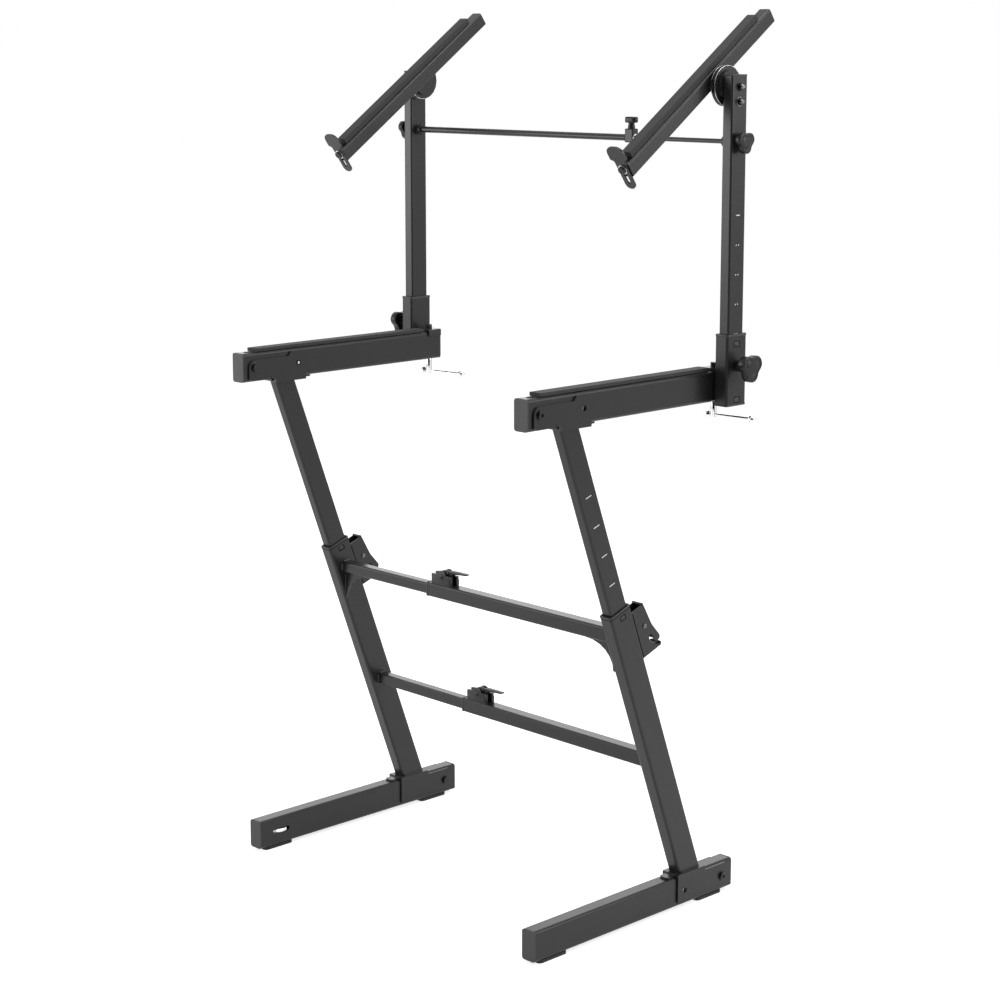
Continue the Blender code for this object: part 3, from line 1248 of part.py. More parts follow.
def make_wing_knob(materials, parts, cutters):
    """The wing knob on the collar block, with its screw down to the inner rod."""
    x = BLOCK_START + BLOCK_LENGTH / 2
    block_top = ROD_Z + BLOCK_RAISE + BLOCK_HEIGHT / 2
    stem_low = block_top + FIT
    stem_top = stem_low + WING_STEM_HEIGHT
    outline = rectangle(WING_SPAN, WING_THICKNESS, WING_THICKNESS * 0.45, (x, SLEEVE_Y))
    knob = prism("rod_wing_knob", [outline], WING_HEIGHT, plan_view(stem_top + WING_HEIGHT / 2), parts)
    join(knob, rod("wing_stem", (x, SLEEVE_Y, stem_low), (x, SLEEVE_Y, stem_top + EMBED), WING_STEM_RADIUS, cutters),
         rod("wing_screw", (x, SLEEVE_Y, ROD_Z + ROD_INNER_RADIUS + FIT), (x, SLEEVE_Y, stem_low + EMBED),
             WING_SCREW_RADIUS, cutters))
    return finish(knob, materials["plastic"], (x, SLEEVE_Y, stem_low))


def make_side(label, side, materials, parts, cutters):
    """Everything that one side frame carries."""
    x = side * FRAME_HALF
    make_foot_tube(label, side, materials, parts, cutters)
    tube_cap(f"foot_front_cap_{label}", x, FOOT_FRONT, 1, FOOT_MID, materials, parts, cutters)
    tube_cap(f"foot_rear_cap_{label}", x, FOOT_FRONT + FOOT_LENGTH, -1, FOOT_MID, materials, parts, cutters)
    make_pads(label, side, materials, parts)
    make_lower_leg(label, side, materials, parts, cutters)
    make_collar(label, side, materials, parts, cutters)
    make_upper_leg(label, side, materials, parts, cutters)
    make_lock_lever(label, side, materials, parts, cutters)
    make_hinge_bolt(f"foot_hinge_bolt_{label}", side, FOOT_HINGE_POINT, materials, parts, cutters)
    make_hinge_bolt(f"arm_hinge_bolt_{label}", side, ARM_HINGE_POINT, materials, parts, cutters)
    make_snap_button(f"foot_snap_button_{label}", side, snap_point(FOOT_HINGE_POINT, -1), materials, parts)
    make_snap_button(f"arm_snap_button_{label}", side, snap_point(ARM_HINGE_POINT, 1), materials, parts)
    make_arm_tube(label, side, materials, parts, cutters)
    tube_cap(f"arm_front_cap_{label}", x, ARM_FRONT, 1, ARM_MID, materials, parts, cutters)
    make_arm_rubber(label, side, materials, parts)
    make_post_sleeve(label, side, materials, parts, cutters)
    make_clamp_screw(label, side, materials, parts, cutters)
    make_clamp_bar(label, side, materials, parts, cutters)
    make_post_knob(label, side, materials, parts, cutters)
    make_post(label, side, materials, parts, cutters)
    make_tilt_arm(label, side, materials, parts, cutters)
    make_tilt_rubber(label, side, materials, parts)
    make_end_stop(label, side, materials, parts)
    make_rod_knob(label, side, materials, parts, cutters)


def main():
    """Build the stand."""
    clear_scene()
    parts = make_collection("keyboard_stand")
    cutters = make_collection("cutters")
    materials = make_materials()
    for label, side in SIDES:
        make_side(label, side, materials, parts, cutters)
    make_levelling_wheel(materials, parts, cutters)
    make_outer_brace("upper", UPPER_BRACE_UP, True, materials, parts, cutters)
    make_inner_brace("upper", UPPER_BRACE_UP, True, materials, parts, cutters)
    make_outer_brace("lower", LOWER_BRACE_UP, False, materials, parts, cutters)
    make_inner_brace("lower", LOWER_BRACE_UP, False, materials, parts, cutters)
    make_cam_lever("upper", UPPER_BRACE_UP, materials, parts, cutters)
    make_cam_lever("lower", LOWER_BRACE_UP, materials, parts, cutters)
    make_rod_outer(materials, parts, cutters)
    make_rod_inner(materials, parts, cutters)
    make_wing_knob(materials, parts, cutters)


main()
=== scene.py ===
"""Two-tier folding keyboard stand: finishes, fittings, stage and camera.

The stand's frames come in as fixed pieces. Each operator below finishes one group of pieces.
Metres, +Z up, +X to the stand's right, the player sits at -Y.
"""

from math import cos, pi, radians, sin

import bpy
from mathutils import Matrix, Vector


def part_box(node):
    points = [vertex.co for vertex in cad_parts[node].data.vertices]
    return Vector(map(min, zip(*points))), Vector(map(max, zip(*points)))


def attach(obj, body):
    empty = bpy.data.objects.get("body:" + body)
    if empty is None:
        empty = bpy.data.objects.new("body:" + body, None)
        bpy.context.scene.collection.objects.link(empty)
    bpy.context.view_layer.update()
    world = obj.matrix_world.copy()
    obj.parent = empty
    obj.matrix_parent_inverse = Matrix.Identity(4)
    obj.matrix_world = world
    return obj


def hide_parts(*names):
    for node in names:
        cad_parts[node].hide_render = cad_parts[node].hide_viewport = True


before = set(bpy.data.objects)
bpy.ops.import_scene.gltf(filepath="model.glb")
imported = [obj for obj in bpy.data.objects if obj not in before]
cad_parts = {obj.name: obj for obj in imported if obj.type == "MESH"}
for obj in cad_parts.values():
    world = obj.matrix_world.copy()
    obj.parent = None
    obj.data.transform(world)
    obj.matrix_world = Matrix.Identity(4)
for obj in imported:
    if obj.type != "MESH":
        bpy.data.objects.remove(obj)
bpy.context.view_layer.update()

bl_info = {
    "name": "Keyboard stand",
    "version": (1, 0, 0),
    "blender": (4, 5, 0),
    "location": "3D View > Sidebar > Stand",
    "description": "Finishes, fittings and stage of a two-tier folding keyboard stand",
    "category": "Object",
}

SIDES = (("right", 1), ("left", -1))
FIT = 0.0003
ROUND = 24
FINE_ROUND = 40
SMOOTH_ANGLE = radians(32)


def middle_of(node):
    """The middle of a node's box."""
    low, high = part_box(node)
    return (Vector(low) + Vector(high)) / 2


def low_of(node):
    """The low corner of a node's box."""
    return Vector(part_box(node)[0])


def high_of(node):
    """The high corner of a node's box."""
    return Vector(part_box(node)[1])


# Places of the frame, from its own pieces
FRAME_HALF = middle_of("arm_tube_right").x
TUBE_HALF = high_of("arm_tube_right").x - FRAME_HALF
ARM_LOW = low_of("arm_tube_right")
ARM_HIGH = high_of("arm_tube_right")
ARM_MID = (ARM_LOW.z + ARM_HIGH.z) / 2
ARM_TOP = ARM_HIGH.z
FOOT_LOW = low_of("foot_tube_right")
FOOT_HIGH = high_of("foot_tube_right")
SLEEVE_LOW = low_of("post_sleeve_right")
SLEEVE_HIGH = high_of("post_sleeve_right")
SLEEVE_OUTER = SLEEVE_HIGH.x
SLEEVE_WIDTH = 0.0264
SLEEVE_DEPTH = 0.0474
SLEEVE_X = SLEEVE_OUTER - SLEEVE_WIDTH / 2
SLEEVE_Y = middle_of("post_sleeve_right").y
POST_WIDTH = 0.020
POST_DEPTH = 0.0365
POST_FACE = SLEEVE_X + POST_WIDTH / 2
ROD_Z = middle_of("rod_inner").z
CHEEK_FACE = TUBE_HALF + FIT + 0.003

# Lean of the legs and tilt of the upper arms
LEAN = radians(20.34)
LEG_UP = Vector((0, -sin(LEAN), cos(LEAN)))
LEG_BACK = Vector((0, cos(LEAN), sin(LEAN)))
LEG_HALF_DEPTH = 0.024
LEG_HALF_WIDTH = 0.0125
UPPER_HALF_DEPTH = 0.0195
UPPER_HALF_WIDTH = 0.01015
SEAT_Y = 0.0990
SEAT_Z = 0.0608
LOWER_LEG = 0.503
COLLAR_TOP = Vector((0, SEAT_Y - LOWER_LEG * sin(LEAN), SEAT_Z + LOWER_LEG * cos(LEAN)))
TILT = radians(35.4)
TILT_ALONG = Vector((0, cos(TILT), sin(TILT)))
TILT_UP = Vector((0, -sin(TILT), cos(TILT)))
PIVOT = Vector((0, SLEEVE_Y, 1.3461))
TILT_HALF = 0.0123
TILT_RAISE = 0.019
TILT_X = 0.33815


def leg_point(x, up, back):
    """A point of a leg, from the middle of its collar's top."""
    return COLLAR_TOP + LEG_UP * up + LEG_BACK * back + Vector((x, 0, 0))


def tilt_point(x, along, up):
    """A point of an upper arm, along it from the pivot and up from its middle line."""
    return PIVOT + TILT_ALONG * along + TILT_UP * (TILT_RAISE + up) + Vector((x, 0, 0))


def pointing(point, direction, side_way=(0, 0, 1)):
    """A frame at a point, whose Z is a direction and whose Y leans towards another."""
    along = Vector(direction).normalized()
    across = Vector(side_way).cross(along)
    if across.length < 0.001:
        across = Vector((1, 0, 0))
    across.normalize()
    turned = Matrix((across, along.cross(across), along)).transposed().to_4x4()
    turned.translation = point
    return turned


def deselect():
    """Leave edit mode and select nothing."""
    if bpy.context.object and bpy.context.object.mode != "OBJECT":
        bpy.ops.object.mode_set(mode="OBJECT")
    bpy.ops.object.select_all(action="DESELECT")


def select_only(piece):
    """Leave edit mode and select one piece."""
    deselect()
    piece.select_set(True)
    bpy.context.view_layer.objects.active = piece


def settle(piece, matrix=None):
    """Put a piece in its place and write the place into its mesh."""
    select_only(piece)
    if matrix is not None:
        piece.matrix_world = matrix @ piece.matrix_world
    bpy.ops.object.transform_apply(location=True, rotation=True, scale=True)
    bpy.ops.object.mode_set(mode="EDIT")
    bpy.ops.mesh.select_all(action="SELECT")
    bpy.ops.mesh.normals_make_consistent(inside=False)
    bpy.ops.object.mode_set(mode="OBJECT")
    return piece


def dress(piece, name, surface, body):
    """Name a finished piece, give it its surface and let it ride on its body."""
    piece.name = name
    piece.data.name = name
    piece.data.materials.clear()
    piece.data.materials.append(bpy.data.materials[surface])
    select_only(piece)
    bpy.ops.object.shade_smooth_by_angle(angle=SMOOTH_ANGLE)
    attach(piece, body)
    return piece


def stack(profile, vertices=ROUND):
    """A round piece along Z, extruded and scaled from ring (radius, height) to ring."""
    deselect()
    radius, height = profile[0]
    bpy.ops.mesh.primitive_circle_add(vertices=vertices, radius=radius, fill_type="NGON",
                                      location=(0, 0, height))
    return extrude_rings(bpy.context.object, profile)


def extrude_rings(piece, rings):
    """Extrude and scale a flat face along Z from ring (size, height) to ring."""
    size, height = rings[0]
    bpy.ops.object.mode_set(mode="EDIT")
    bpy.ops.mesh.select_all(action="SELECT")
    for next_size, next_height in rings[1:]:
        bpy.ops.mesh.extrude_region_move(TRANSFORM_OT_translate={"value": (0, 0, next_height - height)})
        ratio = next_size / size
        bpy.ops.transform.resize(value=(ratio, ratio, 1), center_override=(0, 0, 0))
        size, height = next_size, next_height
    bpy.ops.object.mode_set(mode="OBJECT")
    return piece


def flat_face(points, height):
    """A face with a given outline, at a height."""
    deselect()
    bpy.ops.mesh.primitive_circle_add(vertices=len(points), radius=1, fill_type="NGON")
    piece = bpy.context.object
    for vertex, (u, v) in zip(piece.data.vertices, points):
        vertex.co = (u, v, height)
    return piece


def plate(points, thickness, edge=0, segments=2):
    """A flat outline in XY, extruded along Z both ways from its plane, with bevelled rims."""
    piece = flat_face(points, -thickness / 2)
    bpy.ops.object.mode_set(mode="EDIT")
    bpy.ops.mesh.select_all(action="SELECT")
    bpy.ops.mesh.extrude_region_move(TRANSFORM_OT_translate={"value": (0, 0, thickness)})
    bpy.ops.mesh.select_all(action="SELECT")
    bpy.ops.mesh.normals_make_consistent(inside=False)
    bpy.ops.object.mode_set(mode="OBJECT")
    if edge:
        bevel_edges(piece, edge, segments, lambda a, b: abs(a.z - b.z) < thickness / 10)
    return piece


def bevel_edges(piece, width, segments, chosen):
    """Bevel the edges that a test of their two ends chooses."""
    select_only(piece)
    bpy.ops.object.mode_set(mode="EDIT")
    bpy.ops.mesh.select_mode(type="EDGE")
    bpy.ops.mesh.select_all(action="DESELECT")
    bpy.ops.object.mode_set(mode="OBJECT")
    corners = piece.data.vertices
    for edge in piece.data.edges:
        first, second = edge.vertices
        edge.select = chosen(corners[first].co, corners[second].co)
    bpy.ops.object.mode_set(mode="EDIT")
    bpy.ops.mesh.bevel(offset=width, segments=segments, affect="EDGES")
    bpy.ops.object.mode_set(mode="OBJECT")
    return piece


def slab(size, edge, segments=2):
    """A block with rounded edges, centred on the origin."""
    deselect()
    bpy.ops.mesh.primitive_cube_add(size=1)
    piece = bpy.context.object
    piece.scale = size
    bpy.ops.object.transform_apply(location=False, rotation=False, scale=True)
    return bevel_edges(piece, edge, segments, lambda a, b: True)


def merge(pieces):
    """Join loose shapes of one moulding or one kind into one piece."""
    deselect()
    for piece in pieces:
        piece.select_set(True)
    bpy.context.view_layer.objects.active = pieces[0]
    bpy.ops.object.join()
    return pieces[0]


def carve(piece, cutter):
    """Cut one shape from a piece and remove the cutter."""
    change = piece.modifiers.new("Cut", "BOOLEAN")
    change.operation = "DIFFERENCE"
    change.solver = "EXACT"
    change.object = cutter
    select_only(piece)
    bpy.ops.object.modifier_apply(modifier=change.name)
    bpy.data.objects.remove(cutter, do_unlink=True)
    return piece


def rounded_box(width, height, radius, steps=4):
    """The outline of a rectangle with round corners."""
    points = []
    for quarter, (u, v) in enumerate(((1, 1), (-1, 1), (-1, -1), (1, -1))):
        for step in range(steps + 1):
            turn = pi / 2 * (quarter + step / steps)
            points.append((u * (width / 2 - radius) + radius * cos(turn),
                           v * (height / 2 - radius) + radius * sin(turn)))
    return points


# Finishes

GRAIN_SHARE = 0.35


def noise(tree, scale, detail, place):
    """A noise texture on the piece's own coordinates."""
    texture = tree.nodes.new("ShaderNodeTexNoise")
    texture.inputs["Scale"].default_value = scale
    texture.inputs["Detail"].default_value = detail
    tree.links.new(place.outputs["Object"], texture.inputs["Vector"])
    return texture


def blend(tree, factor, low, high):
    """A value that goes from low to high with a factor."""
    spread = tree.nodes.new("ShaderNodeMapRange")
    spread.inputs["To Min"].default_value = low
    spread.inputs["To Max"].default_value = high
    tree.links.new(factor, spread.inputs["Value"])
    return spread.outputs["Result"]


def tint(tree, factor, low, high):
    """A colour that goes from low to high with a factor."""
    mixed = tree.nodes.new("ShaderNodeMix")
    mixed.data_type = "RGBA"
    mixed.inputs[6].default_value = (*low, 1)
    mixed.inputs[7].default_value = (*high, 1)
    tree.links.new(factor, mixed.inputs[0])
    return mixed.outputs[2]


def maths(tree, operation, *values):
    """A maths node whose inputs are numbers or other nodes' outputs."""
    node = tree.nodes.new("ShaderNodeMath")
    node.operation = operation
    for socket, value in zip(node.inputs, values):
        if isinstance(value, (int, float)):
            socket.default_value = value
        else:
            tree.links.new(value, socket)
    return node


def new_group(name, inputs, outputs):
    """An empty node group with number inputs and outputs."""
    group = bpy.data.node_groups.new(name, "ShaderNodeTree")
    for label, value in inputs:
        socket = group.interface.new_socket(name=label, in_out="INPUT", socket_type="NodeSocketFloat")
        socket.default_value = value
    for label in outputs:
        group.interface.new_socket(name=label, in_out="OUTPUT", socket_type="NodeSocketFloat")
    entry = group.nodes.new("NodeGroupInput")
    leave = group.nodes.new("NodeGroupOutput")
    return group, entry, leave


def make_grain_group():
    """Fine grain with soft clouds under it: a tone from 0 to 1 and a height."""
    group, entry, leave = new_group("Grain", (("Scale", 900), ("Cloud scale", 14)), ("Tone", "Height"))
    place = group.nodes.new("ShaderNodeTexCoord")
    fine = noise(group, 900, 3, place)
    clouds = noise(group, 14, 2, place)
    group.links.new(entry.outputs["Scale"], fine.inputs["Scale"])
    group.links.new(entry.outputs["Cloud scale"], clouds.inputs["Scale"])
    soft = maths(group, "MULTIPLY", clouds.outputs["Fac"], 1 - GRAIN_SHARE)
    mean = maths(group, "MULTIPLY_ADD", fine.outputs["Fac"], GRAIN_SHARE, soft.outputs["Value"])
    group.links.new(mean.outputs["Value"], leave.inputs["Tone"])
    group.links.new(fine.outputs["Fac"], leave.inputs["Height"])
    return group


def make_edge_wear_and_highlight_group():
    """Edge mask: 1 on sharp outer edges, broken up by noise, and 0 on flats; it stands for rubbed paint and
    for a painted highlight.
    """
    group, entry, leave = new_group("Edge_wear_and_highlight", (("Radius", 0.0012), ("Amount", 1)), ("Mask",))
    place = group.nodes.new("ShaderNodeTexCoord")
    patches = noise(group, 60, 4, place)
    bevel = group.nodes.new("ShaderNodeBevel")
    bevel.samples = 4
    group.links.new(entry.outputs["Radius"], bevel.inputs["Radius"])
    surface = group.nodes.new("ShaderNodeNewGeometry")
    agree = group.nodes.new("ShaderNodeVectorMath")
    agree.operation = "DOT_PRODUCT"
    group.links.new(bevel.outputs["Normal"], agree.inputs[0])
    group.links.new(surface.outputs["Normal"], agree.inputs[1])
    edge_wear_and_highlight = group.nodes.new("ShaderNodeMapRange")
    edge_wear_and_highlight.inputs["From Min"].default_value = 0.985
    edge_wear_and_highlight.inputs["From Max"].default_value = 0.86
    group.links.new(agree.outputs["Value"], edge_wear_and_highlight.inputs["Value"])
    broken = maths(group, "MULTIPLY", edge_wear_and_highlight.outputs["Result"], patches.outputs["Fac"])
    amount = maths(group, "MULTIPLY", broken.outputs["Value"], entry.outputs["Amount"])
    amount.use_clamp = True
    group.links.new(amount.outputs["Value"], leave.inputs["Mask"])
    return group


def make_finish(name, colour, metallic, roughness, grain, wear_and_highlight, coat=0, specular=0.5):
    """A surface of one colour with grain, soft variation and lighter edges.

    colour is (low, high, edge); roughness is (low, high); grain is (scale, bump, cloud scale);
    wear_and_highlight is (radius, amount) of the lighter edges, which stand for rubbed paint and for a
    painted highlight.
    """
    surface = bpy.data.materials.new(name)
    surface.use_nodes = True
    tree = surface.node_tree
    shader = tree.nodes["Principled BSDF"]
    low, high, edge = colour
    grain_node = tree.nodes.new("ShaderNodeGroup")
    grain_node.node_tree = bpy.data.node_groups["Grain"]
    grain_node.inputs["Scale"].default_value = grain[0]
    grain_node.inputs["Cloud scale"].default_value = grain[2]
    body = tint(tree, grain_node.outputs["Tone"], low, high)
    edges = tree.nodes.new("ShaderNodeGroup")
    edges.node_tree = bpy.data.node_groups["Edge_wear_and_highlight"]
    edges.inputs["Radius"].default_value = wear_and_highlight[0]
    edges.inputs["Amount"].default_value = wear_and_highlight[1]
    # Lighter edges: rubbed paint, and a painted highlight where rounded edges would catch the light.
    edge_wear_and_highlight = tree.nodes.new("ShaderNodeMix")
    edge_wear_and_highlight.data_type = "RGBA"
    edge_wear_and_highlight.inputs[7].default_value = (*edge, 1)
    tree.links.new(edges.outputs["Mask"], edge_wear_and_highlight.inputs[0])
    tree.links.new(body, edge_wear_and_highlight.inputs[6])
    tree.links.new(edge_wear_and_highlight.outputs[2], shader.inputs["Base Color"])
    tree.links.new(blend(tree, grain_node.outputs["Tone"], *roughness), shader.inputs["Roughness"])
    shader.inputs["Metallic"].default_value = metallic
    shader.inputs["Coat Weight"].default_value = coat
    shader.inputs["Coat Roughness"].default_value = 0.25
    shader.inputs["Specular IOR Level"].default_value = specular
    bump = tree.nodes.new("ShaderNodeBump")
    bump.inputs["Strength"].default_value = 0.6
    bump.inputs["Distance"].default_value = grain[1]
    tree.links.new(grain_node.outputs["Height"], bump.inputs["Height"])
    tree.links.new(bump.outputs["Normal"], shader.inputs["Normal"])
    return surface


def grey(level):
    """A neutral colour."""
    return (level, level, level)


def scaled(colour, share):
    """A colour, lighter or darker by a share."""
    return tuple(part * share for part in colour)


def make_finishes(colours):
    """All the stand's surfaces."""
    make_grain_group()
    make_edge_wear_and_highlight_group()
    steel = colours.steel
    plastic = colours.plastic
    rubber = colours.rubber
    # The third colour of each finish is its edge colour: rubbed paint, and a painted highlight on rounded
    # edges.
    make_finish("satin_coat", (scaled(steel, 0.85), scaled(steel, 1.15), scaled(steel, 2.6)), 0,
                (0.24, 0.34), (1100, 0.00004, 14), (0.0009, 0.8), specular=0.30)
    make_finish("moulded_plastic", (scaled(plastic, 0.8), scaled(plastic, 1.2), scaled(plastic, 2.2)), 0,
                (0.42, 0.58), (2400, 0.00005, 40), (0.0008, 0.7))
    make_finish("black_plastic", (scaled(plastic, 0.35), scaled(plastic, 0.55), scaled(plastic, 2.0)), 0,
                (0.30, 0.42), (2400, 0.00004, 40), (0.0007, 0.9), specular=0.30)
    make_finish("rubber", (scaled(rubber, 0.75), scaled(rubber, 1.3), scaled(rubber, 1.9)), 0,
                (0.62, 0.85), (1500, 0.00012, 30), (0.0010, 0.6), specular=0.22)
    make_finish("chrome", (grey(0.48), grey(0.62), grey(0.80)), 1, (0.05, 0.14), (500, 0.00001, 30),
                (0.0006, 0.5))
    make_finish("zinc", (grey(0.42), grey(0.62), grey(0.80)), 1, (0.20, 0.38), (900, 0.00002, 60),
                (0.0006, 0.8))
    # A near-black surface that paints the shade in gaps, seams, windows and holes.
    make_finish("dark_gap", (grey(0.002), grey(0.004), grey(0.006)), 0, (0.8, 0.95), (1800, 0.00002, 90),
                (0.0004, 0.1), specular=0.08)
    make_finish("dull_zinc", (grey(0.10), grey(0.22), grey(0.60)), 1, (0.22, 0.40), (900, 0.00002, 60),
                (0.0005, 0.9))
    make_finish("black_oxide", (grey(0.020), grey(0.045), grey(0.16)), 0.85, (0.22, 0.40),
                (1200, 0.00002, 90), (0.0005, 1.0))
    make_finish("weld", (scaled(steel, 0.9), scaled(steel, 1.3), scaled(steel, 2.2)), 0,
                (0.30, 0.42), (1400, 0.00006, 50), (0.0008, 0.6))
    make_finish("white_paint", (grey(0.84), grey(0.93), grey(0.95)), 0, (0.45, 0.6), (1800, 0.00002, 90),
                (0.0004, 0.2))


NODE_FINISHES = (
    ("rubber", ("foot_front_pad", "foot_rear_pad", "arm_rubber", "tilt_rubber")),
    ("moulded_plastic", ("foot_front_cap", "foot_rear_cap", "arm_front_cap", "leg_collar")),
    ("black_plastic", ("lock_lever", "cam_lever", "post_knob", "rod_knob", "rod_wing_knob")),
    ("chrome", ("clamp_screw", "clamp_bar", "foot_snap", "levelling_wheel")),
    ("dull_zinc", ("arm_snap",)),
    ("black_oxide", ("foot_hinge_bolt", "arm_hinge_bolt")),
)


def finish_of(node):
    """The surface that a node of the frame gets."""
    for surface, starts in NODE_FINISHES:
        if node.startswith(starts):
            return surface
    return "satin_coat"


# Stage

def soft_light(name, place, aim, size, watts):
    """A square soft light that faces a point."""
    lamp = bpy.data.lights.new(name, "AREA")
    lamp.shape = "RECTANGLE"
    lamp.size, lamp.size_y = size
    lamp.energy = watts
    thing = bpy.data.objects.new(name, lamp)
    bpy.context.scene.collection.objects.link(thing)
    thing.location = place
    thing.rotation_mode = "QUATERNION"
    thing.rotation_quaternion = (Vector(aim) - Vector(place)).to_track_quat("-Z", "Y")
    thing.visible_camera = False
    return thing


def dark_card(name, place, aim, size):
    """A black card that shows only in reflections, and turns them dark."""
    deselect()
    bpy.ops.mesh.primitive_grid_add(x_subdivisions=4, y_subdivisions=4, size=1)
    card = bpy.context.object
    card.name = name
    for vertex in card.data.vertices:
        vertex.co = (vertex.co.x * size[0], vertex.co.y * size[1], 0)
    card.rotation_mode = "QUATERNION"
    card.rotation_quaternion = (Vector(aim) - Vector(place)).to_track_quat("-Z", "Y")
    card.location = place
    bpy.ops.object.transform_apply(location=True, rotation=True, scale=True)
    surface = bpy.data.materials.new(name)
    surface.use_nodes = True
    shader = surface.node_tree.nodes["Principled BSDF"]
    shader.inputs["Base Color"].default_value = (0.003, 0.003, 0.003, 1)
    shader.inputs["Roughness"].default_value = 1
    shader.inputs["Specular IOR Level"].default_value = 0
    card.data.materials.append(surface)
    card.visible_camera = False
    card.visible_diffuse = False
    card.visible_shadow = False


def camera_ray_switch(tree):
    """A factor that is 1 for rays which show the background itself."""
    path = tree.nodes.new("ShaderNodeLightPath")
    seen = maths(tree, "MAXIMUM", path.outputs["Is Camera Ray"], path.outputs["Is Glossy Ray"])
    passed = maths(tree, "MAXIMUM", seen.outputs["Value"], path.outputs["Is Transmission Ray"])
    return passed.outputs["Value"]


def make_world(level):
    """A white room: plain white where it is seen or mirrored, and softer as a light."""
    world = bpy.data.worlds.new("studio")
    bpy.context.scene.world = world
    world.use_nodes = True
    tree = world.node_tree
    background = tree.nodes["Background"]
    background.inputs["Color"].default_value = (1, 1, 1, 1)
    strength = tree.nodes.new("ShaderNodeMapRange")
    strength.inputs["To Min"].default_value = level
    strength.inputs["To Max"].default_value = 1
    tree.links.new(camera_ray_switch(tree), strength.inputs["Value"])
    tree.links.new(strength.outputs["Result"], background.inputs["Strength"])


def make_floor(world_level):
    """A wide white floor that keeps the stand's soft shadow."""
    deselect()
    bpy.ops.mesh.primitive_grid_add(x_subdivisions=8, y_subdivisions=8, size=FLOOR_SIZE, location=(0, 0, 0))
    floor = bpy.context.object
    floor.name = "studio_floor"
    bpy.ops.object.transform_apply(location=True, rotation=True, scale=True)
    surface = bpy.data.materials.new("studio_floor")
    surface.use_nodes = True
    tree = surface.node_tree
    shader = tree.nodes["Principled BSDF"]
    shader.inputs["Base Color"].default_value = (*grey(FLOOR_TONE), 1)
    shader.inputs["Roughness"].default_value = 0.9
    shader.inputs["Specular IOR Level"].default_value = 0
    shader.inputs["Emission Color"].default_value = (1, 1, 1, 1)
    lift = tree.nodes.new("ShaderNodeMapRange")
    lift.inputs["To Min"].default_value = 0
    lift.inputs["To Max"].default_value = 1 - FLOOR_TONE * world_level
    tree.links.new(camera_ray_switch(tree), lift.inputs["Value"])
    tree.links.new(lift.outputs["Result"], shader.inputs["Emission Strength"])
    floor.data.materials.append(surface)


def make_camera():
    """The photograph's view: from the front right, about level with the second tier's arms."""
    lens = bpy.data.cameras.new("view")
    lens.sensor_width = 36
    lens.lens = CAMERA_LENS
    lens.shift_y = CAMERA_SHIFT
    lens.clip_start = 0.05
    lens.clip_end = 200
    camera = bpy.data.objects.new("view", lens)
    bpy.context.scene.collection.objects.link(camera)
    camera.location = CAMERA_PLACE
    forward = Vector((-sin(CAMERA_YAW) * cos(CAMERA_PITCH), cos(CAMERA_YAW) * cos(CAMERA_PITCH),
                      -sin(CAMERA_PITCH)))
    camera.rotation_mode = "QUATERNION"
    camera.rotation_quaternion = forward.to_track_quat("-Z", "Y")
    bpy.context.scene.camera = camera


CAMERA_PLACE = (2.6598, -2.5616, 1.4076)
CAMERA_YAW = radians(46.019)
CAMERA_PITCH = radians(9.561)
CAMERA_LENS = 79.86
CAMERA_SHIFT = -0.08
WORLD_LEVEL = 0.36
FLOOR_SIZE = 80
FLOOR_TONE = 0.80
STAND_MIDDLE = (0, 0, 0.8)

# Soft lights: name, place, aim, size and watts
LIGHTS = (("key_light", (-2.9, -2.9, 1.4), STAND_MIDDLE, (2.6, 1.7), 66),
          ("side_light", (2.4, 1.4, 1.8), STAND_MIDDLE, (1.2, 1.4), 26),
          ("top_light", (0.4, 0.6, 3.6), STAND_MIDDLE, (2.2, 1.6), 50),
          ("back_light", (-3.0, 3.0, 1.65), (0, 0, 0.5), (4.2, 1.5), 30))

# Dark cards: name, place, aim and size
CARDS = (("dark_card_front", (3.4, -3.3, 1.9), (0, 0, 1.9), (6.4, 4.4)),
         ("dark_card_back", (-2.7, 2.9, 0.36), (0, 0, 0.36), (6.0, 0.7)))


class StandColours(bpy.types.PropertyGroup):
    """Colours that a user would change."""
    steel: bpy.props.FloatVectorProperty(name="Frame", description="Satin coat on the steel", size=3,
                                         subtype="COLOR", min=0, max=1, default=(0.021, 0.021, 0.022))
    plastic: bpy.props.FloatVectorProperty(name="Plastic", description="Knobs, levers, caps and collars",
                                           size=3, subtype="COLOR", min=0, max=1,
                                           default=(0.018, 0.018, 0.019))
    rubber: bpy.props.FloatVectorProperty(name="Rubber", description="Strips on the arms and pads", size=3,
                                          subtype="COLOR", min=0, max=1, default=(0.009, 0.009, 0.0094))


class StandSizes(bpy.types.PropertyGroup):
    """Sizes that a user would change."""
    mark_length: bpy.props.FloatProperty(name="Mark length", description="White height marks on the legs",
                                         subtype="DISTANCE", min=0.004, max=0.03, default=0.013)
    mark_width: bpy.props.FloatProperty(name="Mark width", description="Thickness of the painted lines",
                                        subtype="DISTANCE", min=0.0005, max=0.003, default=0.0015)


class STAND_OT_finishes(bpy.types.Operator):
    """Make the surfaces and put them on the frame's own pieces"""
    bl_idname = "stand.finishes"
    bl_label = "Finishes"

    def execute(self, context):
        make_finishes(context.scene.stand_colours)
        for name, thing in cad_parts.items():
            thing.data.materials.clear()
            thing.data.materials.append(bpy.data.materials[finish_of(name)])
        return {"FINISHED"}


class STAND_OT_stage(bpy.types.Operator):
    """White room, floor, soft lights and camera"""
    bl_idname = "stand.stage"
    bl_label = "Stage"

    def execute(self, context):
        make_world(WORLD_LEVEL)
        make_floor(WORLD_LEVEL)
        for light in LIGHTS:
            soft_light(*light)
        for card in CARDS:
            dark_card(*card)
        make_camera()
        return {"FINISHED"}


# Small hardware

